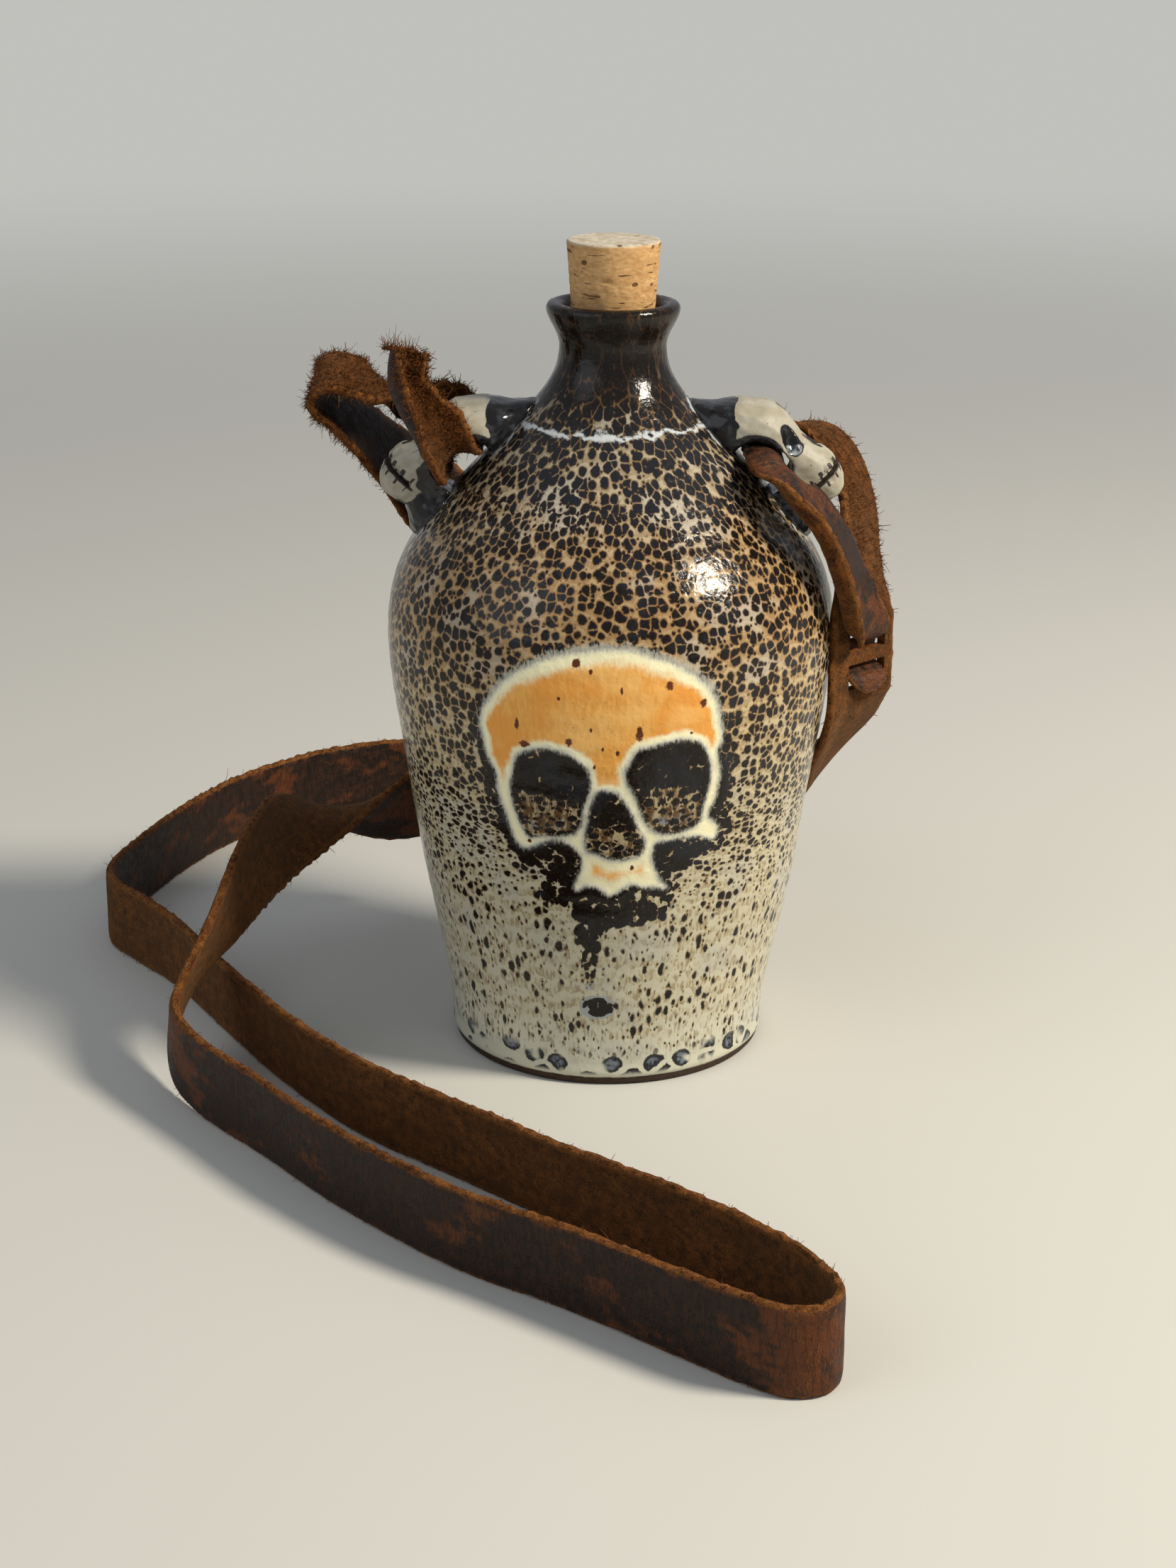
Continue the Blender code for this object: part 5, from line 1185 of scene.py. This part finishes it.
    # The figure: a pale frayed veil, then a cream border, then amber with iron spots
    hair = s.wave(s.stretch(place, (1.0, 1.0, 0.40)), 0.55, 3.0, 0.65)
    hair = hair * (1.0 + s.span(height, 92.0, 114.0) * 0.9)
    drift = s.wave(place, 3.0)
    frayed = figure + drift + hair * 2.6
    crown = s.span(height, 96.0, 114.0)
    veil = s.span(frayed + crown * 0.9, -1.1, 0.4) * 0.80
    colour = s.blend(veil, colour, (0.46, 0.46, 0.39))
    edge = figure + drift * 0.9 + hair * 1.1
    amber_streak = s.noise(s.stretch(place, (1.0, 1.0, 0.30)), 0.9, 3.0, 0.62)
    amber = s.blend(s.span(amber_streak, 0.34, 0.68), (0.86, 0.44, 0.105), (0.78, 0.345, 0.062))
    warm = s.noise(place, 13.0) + s.span(split[0], -4.0, 26.0) * 0.10
    amber = s.blend(s.span(warm, 0.46, 0.66) * 0.75, amber, (0.80, 0.325, 0.050))
    pale = s.span(s.noise(s.shift(place, (40.0, 0.0, 0.0)), 10.0), 0.48, 0.68) * 0.50
    amber = s.blend(pale, amber, (0.90, 0.56, 0.19))
    depth_in_figure = figure + s.wave(place, 4.0) * 3.0 + hair * 1.4
    near_rim = s.span(height, 98.0, 115.0) * 0.50 + s.span(height, 76.0, 68.0) * 0.45
    depth_in_figure = depth_in_figure * (1.0 - near_rim)
    jaw = s.span(height, 69.0, 65.0) * s.span(s.math("ABSOLUTE", split[0]), 11.0, 7.0)
    body = s.span(depth_in_figure, 0.9, 2.5) * s.most(s.span(height, 80.0, 90.0), jaw)
    paint = s.blend(s.span(edge, 0.0, 1.3), (0.66, 0.65, 0.52), (0.93, 0.88, 0.58))
    paint = s.blend(body, paint, amber)
    front_face = s.math("LESS_THAN", split[1], 0.0)
    ragged = s.wave(place, 0.9, 3.0) * 1.5 + drift * 0.5
    spots = None
    for across, level_of, wide_by, high_by in IRON_SPOTS:
        x = (split[0] - across) * (1.0 / wide_by)
        z = (height - level_of) * (1.0 / high_by)
        far = s.math("SQRT", x * x + z * z)
        spots = far if spots is None else s.least(spots, far)
    spots = s.span(spots + ragged, 1.25, 0.75) * front_face
    dots = s.group("scattered_specks", {"Vector": place, "Spacing": 2.4, "Radius": 0.09, "Share": 0.22})
    paint = s.blend(dots[0] * body * 0.45, paint, (0.42, 0.16, 0.035))
    paint = s.blend(spots, paint, (0.115, 0.027, 0.007))
    colour = s.blend(s.span(edge, -0.5, 0.5), colour, paint)

    clay = s.span(height + lumpy * 0.7, 2.45, 2.05)
    clay_colour = s.blend(s.noise(place, 0.8, 3.0), (0.020, 0.012, 0.008), (0.070, 0.040, 0.024))
    colour = s.blend(clay, colour, clay_colour)
    colour = s.blend(s.attribute("inner"), colour, (0.060, 0.040, 0.026))

    pebble = s.noise(place, 1.5, 3.0, 0.55)
    rough = 0.13 + s.span(pebble, 0.40, 0.75) * 0.12 + clay * 0.62
    relief = s.span(depth, -0.8, 0.5) * -0.22 + pebble * 0.75
    relief = relief + s.noise(place, 4.5) * 0.9
    s.fill(shader, {"Base Color": colour, "Roughness": rough, "Normal": s.bump(relief, 0.55, 0.30 * MM),
                    "Specular IOR Level": 0.27, "Coat Weight": 0.02, "Coat Roughness": 0.08})
    return mat


def make_bone():
    """Bare cream clay with iron specks, a black gloss in the hollows and on the back of the head, and a
    painted highlight in the eye sockets.
    """
    mat, shader, s = new_material("bone_bisque")
    place = s.millimetres()
    grit = s.wave(place, 0.5, 3.0, 0.6)
    soft = s.wave(place, 2.4)
    dark = s.attribute("dark") + grit * 0.5 + soft * 0.5
    gloss = s.span(dark, 0.42, 0.56)
    cream = s.blend(s.span(s.noise(place, 5.0, 3.0), 0.36, 0.66), (0.345, 0.315, 0.235), (0.43, 0.41, 0.335))
    cream = s.blend(s.span(s.noise(place, 1.1, 3.0), 0.50, 0.72) * 0.35, cream, (0.33, 0.27, 0.17))
    specks = s.group("scattered_specks", {"Vector": place, "Spacing": 1.9, "Radius": 0.10, "Share": 0.30})
    cream = s.blend(specks[0] * 0.8, cream, (0.085, 0.052, 0.030))
    strokes = s.span(s.attribute("strokes") + grit * 0.7, 0.34, 0.62)
    cream = s.blend(strokes, cream, (0.028, 0.020, 0.015))
    rim = s.span(dark, 0.26, 0.44) * 0.8
    cream = s.blend(rim, cream, (0.26, 0.23, 0.17))
    ink = s.blend(s.span(s.noise(place, 2.6, 3.0), 0.50, 0.70), (0.0085, 0.008, 0.009), (0.034, 0.038, 0.044))
    # Painted highlight: the outer, lower part of each eye socket is blended toward a pale blue-grey
    eye_highlight_colour = s.blend(s.span(s.noise(place, 1.6), 0.40, 0.62), (0.030, 0.036, 0.044), (0.30, 0.34, 0.36))
    ink = s.blend(s.span(s.attribute("eye"), 0.72, 0.98), ink, eye_highlight_colour)
    seat = s.span(s.attribute("seat") + soft * 1.2, 0.45, 0.9)
    ink = s.blend(seat * 0.55, ink, (0.22, 0.23, 0.23))
    colour = s.blend(gloss, cream, ink)
    rough = s.node("MapRange", {0: gloss, 3: 0.50, 4: 0.14})[0]
    relief = s.noise(place, 0.7, 3.0) * 0.35 + gloss * 0.45 + strokes * -0.8
    s.fill(shader, {"Base Color": colour, "Roughness": rough, "Normal": s.bump(relief, 0.45, 0.25 * MM),
                    "Specular IOR Level": 0.34, "Coat Weight": gloss * 0.12, "Coat Roughness": 0.06})
    return mat


def make_cork_material():
    """Bark cork: tan granules, short dark lenticels lying level on the side, and a greyer cut top."""
    mat, shader, s = new_material("cork_bark")
    place = s.millimetres()
    top = s.attribute("top")
    grain = s.noise(s.stretch(place, (1.0, 1.0, 2.2)), 1.6, 4.0, 0.65)
    cells = s.cells(s.warp(place, 1.0, 0.4), 0.9)["Color"]
    tone = s.parts(cells)[0]
    colour = s.blend(s.span(grain, 0.30, 0.70), (0.46, 0.245, 0.085), (0.66, 0.41, 0.18))
    colour = s.blend(tone * 0.25, colour, (0.54, 0.38, 0.20))
    broad = s.noise(s.stretch(place, (0.6, 0.6, 1.6)), 5.5)
    colour = s.blend(s.span(broad, 0.46, 0.70) * 0.50, colour, (0.36, 0.185, 0.066))
    streaks = s.noise(s.stretch(s.warp(place, 3.0, 0.7), (0.42, 0.42, 2.9)), 2.5, 2.0, 0.5)
    lenticel = s.span(streaks, 0.62, 0.70) * (1.0 - top)
    pits = s.group("scattered_specks", {"Vector": s.stretch(s.warp(place, 1.0, 0.6), (0.8, 0.8, 1.4)),
                                        "Spacing": 3.4, "Radius": 0.16, "Share": 0.32})
    holes = s.most(lenticel, pits[0])
    top_colour = s.blend(s.span(grain, 0.38, 0.62), (0.46, 0.43, 0.34), (0.60, 0.58, 0.49))
    top_colour = s.blend(s.span(s.noise(s.stretch(place, (0.3, 1.0, 1.0)), 1.5), 0.54, 0.66) * 0.7,
                         top_colour, (0.24, 0.17, 0.10))
    colour = s.blend(top * 0.85, colour, top_colour)
    colour = s.blend(holes * 0.85, colour, (0.085, 0.030, 0.010))
    relief = grain * 0.5 - holes
    s.fill(shader, {"Base Color": colour, "Roughness": 0.72 + grain * 0.2,
                    "Normal": s.bump(relief, 0.75, 0.40 * MM), "Specular IOR Level": 0.3})
    return mat


def make_fibre_group():
    """The torn fibre of leather: a fine felt of light and dark strands. Tone and Lift run from 0 to 1."""
    s, given, result = new_group("leather_fibre", {"Vector": None, "Size": 1.0}, ("Tone", "Lift"))
    scale = s.math("DIVIDE", 1.0, given["Size"])
    loose = s.warp(given["Vector"], 1.6, 1.3)
    felt = s.node("TexNoise", {"Vector": loose, "Scale": scale, "Detail": 4.0, "Roughness": 0.68})[0]
    strands = s.node("TexNoise", {"Vector": s.stretch(loose, (0.45, 1.3, 1.0)), "Scale": scale * 1.7,
                                  "Detail": 3.0, "Roughness": 0.6})[0]
    mound = s.node("TexNoise", {"Vector": given["Vector"], "Scale": scale * 0.22, "Detail": 2.0})[0]
    lift = felt * 0.55 + strands * 0.45
    tone = s.span(lift + (mound - 0.5) * 0.42, 0.36, 0.66)
    s.fill(result, {"Lift": lift, "Tone": tone})


def make_suede():
    """The flesh side. The hide vector is the place on the strap in millimetres: along, across, which side."""
    mat, shader, s = new_material("strap_suede")
    hide = s.vector("hide")
    fibre = s.group("leather_fibre", {"Vector": hide, "Size": 0.55})
    broad = s.noise(hide, 14.0)
    colour = s.blend(fibre["Tone"], (0.015, 0.0045, 0.0012), (0.180, 0.056, 0.0088))
    patch = s.span(s.noise(s.stretch(hide, (0.6, 1.0, 1.0)), 6.0, 3.0, 0.6), 0.44, 0.62)
    patch = patch * 0.45 + s.span(broad, 0.44, 0.66) * 0.25
    colour = s.blend(patch, colour, (0.045, 0.0135, 0.0030))
    colour = s.blend(s.span(s.attribute("edge"), 0.90, 1.0) * 0.35, colour, (0.30, 0.125, 0.032))
    s.fill(shader, {"Base Color": colour, "Roughness": 0.95, "Normal": s.bump(fibre["Lift"], 1.0, 0.90 * MM),
                    "Specular IOR Level": 0.12, "Sheen Weight": 0.20, "Sheen Roughness": 0.45,
                    "Sheen Tint": (1.0, 0.62, 0.30, 1.0)})
    return mat


def make_grain():
    """Oiled grain side: near-black brown, redder and paler where it has been bent, rubbed and creased, with
    painted shade darkening its crease grooves.
    """
    mat, shader, s = new_material("strap_grain")
    hide = s.vector("hide")
    loose = s.warp(hide, 4.0, 1.6)
    broad = s.noise(s.stretch(hide, (0.5, 1.0, 1.0)), 11.0, 3.0, 0.6)
    rub = s.noise(loose, 2.6, 4.0, 0.62)
    pores = s.cells(s.warp(hide, 1.2, 0.5), 1.15, feature="DISTANCE_TO_EDGE")["Distance"]
    creases = s.noise(s.stretch(loose, (1.5, 0.34, 1.0)), 2.3, 3.0, 0.55)
    fold = s.span(s.math("ABSOLUTE", creases - 0.5), 0.05, 0.0)
    flex = s.attribute("flex")
    warm = s.span(broad, 0.44, 0.70) + (rub - 0.5) * 1.3 + flex * 0.55
    colour = s.blend(s.span(rub, 0.35, 0.68), (0.0120, 0.0048, 0.0020), (0.034, 0.0120, 0.0040))
    colour = s.blend(s.span(warm, 0.30, 1.05) * 0.85, colour, (0.110, 0.029, 0.0045))
    worn = s.span(s.attribute("edge") + (rub - 0.5) * 0.30, 0.93, 1.03)
    colour = s.blend(worn * 0.60, colour, (0.155, 0.050, 0.010))
    # Painted shade: the crease grooves, sunk by the bump below, are also coloured darker
    colour = s.blend(fold * 0.40, colour, (0.0065, 0.0028, 0.0012))
    lines = s.noise(s.stretch(loose, (2.4, 0.22, 1.0)), 2.0, 2.0, 0.5)
    lines = s.span(s.math("ABSOLUTE", lines - 0.5), 0.022, 0.0) * s.span(flex, 0.25, 0.8)
    colour = s.blend(lines * 0.55, colour, (0.21, 0.085, 0.022))
    rough = 0.42 + s.span(rub, 0.3, 0.7) * 0.24
    relief = s.span(pores, 0.0, 0.16) * 0.30 + fold * -0.85
    relief = relief + rub * 0.55 + lines * -0.5
    s.fill(shader, {"Base Color": colour, "Roughness": rough, "Normal": s.bump(relief, 0.60, 0.35 * MM),
                    "Specular IOR Level": 0.26})
    return mat


def make_cut_edge(name, light, dark):
    """Cut or torn leather: pale orange fibre between two darker skins."""
    mat, shader, s = new_material(name)
    fibre = s.group("leather_fibre", {"Vector": s.millimetres(), "Size": 0.45})
    s.fill(shader, {"Base Color": s.blend(fibre["Tone"], dark, light), "Roughness": 0.92,
                    "Normal": s.bump(fibre["Lift"], 1.0, 0.50 * MM), "Specular IOR Level": 0.15})
    return mat


# Floor and light
def direction(turn, rise):
    """A unit vector: turn is measured from the front toward the right, and rise above the floor."""
    return Vector((math.cos(rise) * math.sin(turn), -math.cos(rise) * math.cos(turn), math.sin(rise)))


def make_light(name, turn, rise, distance, size, power, colour):
    lamp = bpy.data.lights.new(name, "AREA")
    lamp.shape = "DISK"
    lamp.size = size
    lamp.energy = power
    lamp.color = colour
    ob = new_object(name, lamp)
    way = direction(turn, rise)
    ob.location = Vector(LIGHT_CENTRE) + way * distance
    ob.rotation_euler = way.to_track_quat("Z", "Y").to_euler()


def make_stage():
    """A pale floor that fades to one even tone far from the object, where it is seen or reflected."""
    half = 0.5 * FLOOR_SIZE
    corners = [(-half, -half, 0.0), (half, -half, 0.0), (half, half, 0.0), (-half, half, 0.0)]
    mat, shader, s = new_material("pale_floor")
    far = s.node("VectorMath", {0: s.node("TexCoord", {})["Object"]}, operation="LENGTH")["Value"]
    ray = s.node("LightPath", {})
    seen = s.most(ray["Is Camera Ray"], s.most(ray["Is Glossy Ray"], ray["Is Transmission Ray"]))
    share = s.span(far, 0.45, 1.9) * seen
    s.fill(shader, {"Base Color": (*FLOOR_COLOUR, 1.0), "Roughness": 0.9, "Specular IOR Level": 0.1})
    glow = s.node("Emission", {"Color": (*FAR_COLOUR, 1.0), "Strength": 1.0})
    mix = s.node("MixShader", {0: share, 1: Value(s, shader.outputs[0]), 2: glow[0]})
    s.fill(mat.node_tree.nodes["Material Output"], {"Surface": mix[0]})
    floor = piece("pale_floor", corners, [[(0, 1, 2, 3)]], [mat], smooth=False)
    world = bpy.data.worlds.new("room")
    bpy.context.scene.world = world
    world.use_nodes = True
    w = Shades(world.node_tree)
    sky = world.node_tree.nodes["Background"]
    w.fill(sky, {"Color": (*ROOM_COLOUR, 1.0), "Strength": ROOM_STRENGTH})
    backdrop = w.node("Background", {"Color": (*FAR_COLOUR, 1.0), "Strength": 1.0})
    ray = w.node("LightPath", {})
    mix = w.node("MixShader", {0: ray["Is Camera Ray"], 1: Value(w, sky.outputs[0]), 2: backdrop[0]})
    w.fill(world.node_tree.nodes["World Output"], {"Surface": mix[0]})


def make_camera():
    data = bpy.data.cameras.new("camera")
    data.sensor_fit = "VERTICAL"
    data.sensor_height = CAMERA_SENSOR
    data.lens = CAMERA_LENS
    data.clip_start = 0.01
    data.clip_end = 60.0
    ob = new_object("camera", data)
    tilt = Matrix.Rotation(math.pi / 2.0 - CAMERA_PITCH, 4, "X") @ Matrix.Rotation(CAMERA_ROLL, 4, "Z")
    ob.matrix_world = Matrix.Translation(CAMERA_PLACE) @ tilt
    bpy.context.scene.camera = ob


def mark_lug_gap(flask, lugs):
    """Give each point of the flask its distance to the nearest lug, up to 12 mm."""
    points = points_of(flask)
    gap = np.full(len(points), 12.0)
    near = np.flatnonzero((points[:, 2] > 125.0 * MM) & (points[:, 2] < 176.0 * MM)
                          & (np.hypot(points[:, 0], points[:, 1]) > 14.0 * MM))
    for lug in lugs:
        tree = BVHTree.FromPolygons([tuple(v.co) for v in lug.data.vertices],
                                    [tuple(p.vertices) for p in lug.data.polygons])
        side = near[points[near, 0] * points_of(lug)[:, 0].mean() > 0.0]
        for index in side:
            found = tree.find_nearest(points[index].tolist(), 12.0 * MM)
            if found[3] is not None:
                gap[index] = min(gap[index], found[3] / MM)
    set_values(flask, "lug_gap", gap)


def build():
    make_camera()
    make_cell_group()
    make_speck_group()
    make_fibre_group()
    suede = make_suede()
    edge = make_cut_edge("strap_cut_edge", (0.27, 0.105, 0.026), (0.062, 0.020, 0.005))
    fluff = make_cut_edge("strap_fluff", (0.26, 0.092, 0.022), (0.050, 0.016, 0.004))
    strap, *shape = make_strap(suede, make_grain(), edge)
    fibres = make_fibres("strap_fibres", EDGE_SEED, fluff, *shape)
    nap = make_fibres("strap_nap", NAP_SEED, fluff, *shape)
    flask = make_flask(make_glaze())
    bone = make_bone()
    lugs = [make_lug("lug_skull_left", -1.0, bone), make_lug("lug_skull_right", 1.0, bone)]
    mark_lug_gap(flask, lugs)
    cork = make_cork(make_cork_material())
    for ob in (strap, fibres, nap, flask, *lugs):
        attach(ob, "flask")
    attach(cork, "stopper")
    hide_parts("strap")
    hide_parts("bottle")
    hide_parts("lug_skull_left")
    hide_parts("lug_skull_right")
    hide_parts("cork")
    shape[0][::4].tolist() + [shape[0][-1].tolist()]
    make_stage()
    make_light("window", KEY_TURN, KEY_RISE, KEY_DISTANCE, KEY_SIZE, KEY_POWER, KEY_COLOUR)
    make_light("fill", FILL_TURN, FILL_RISE, FILL_DISTANCE, FILL_SIZE, FILL_POWER, FILL_COLOUR)
    bpy.context.scene.view_settings.view_transform = "Standard"


build()
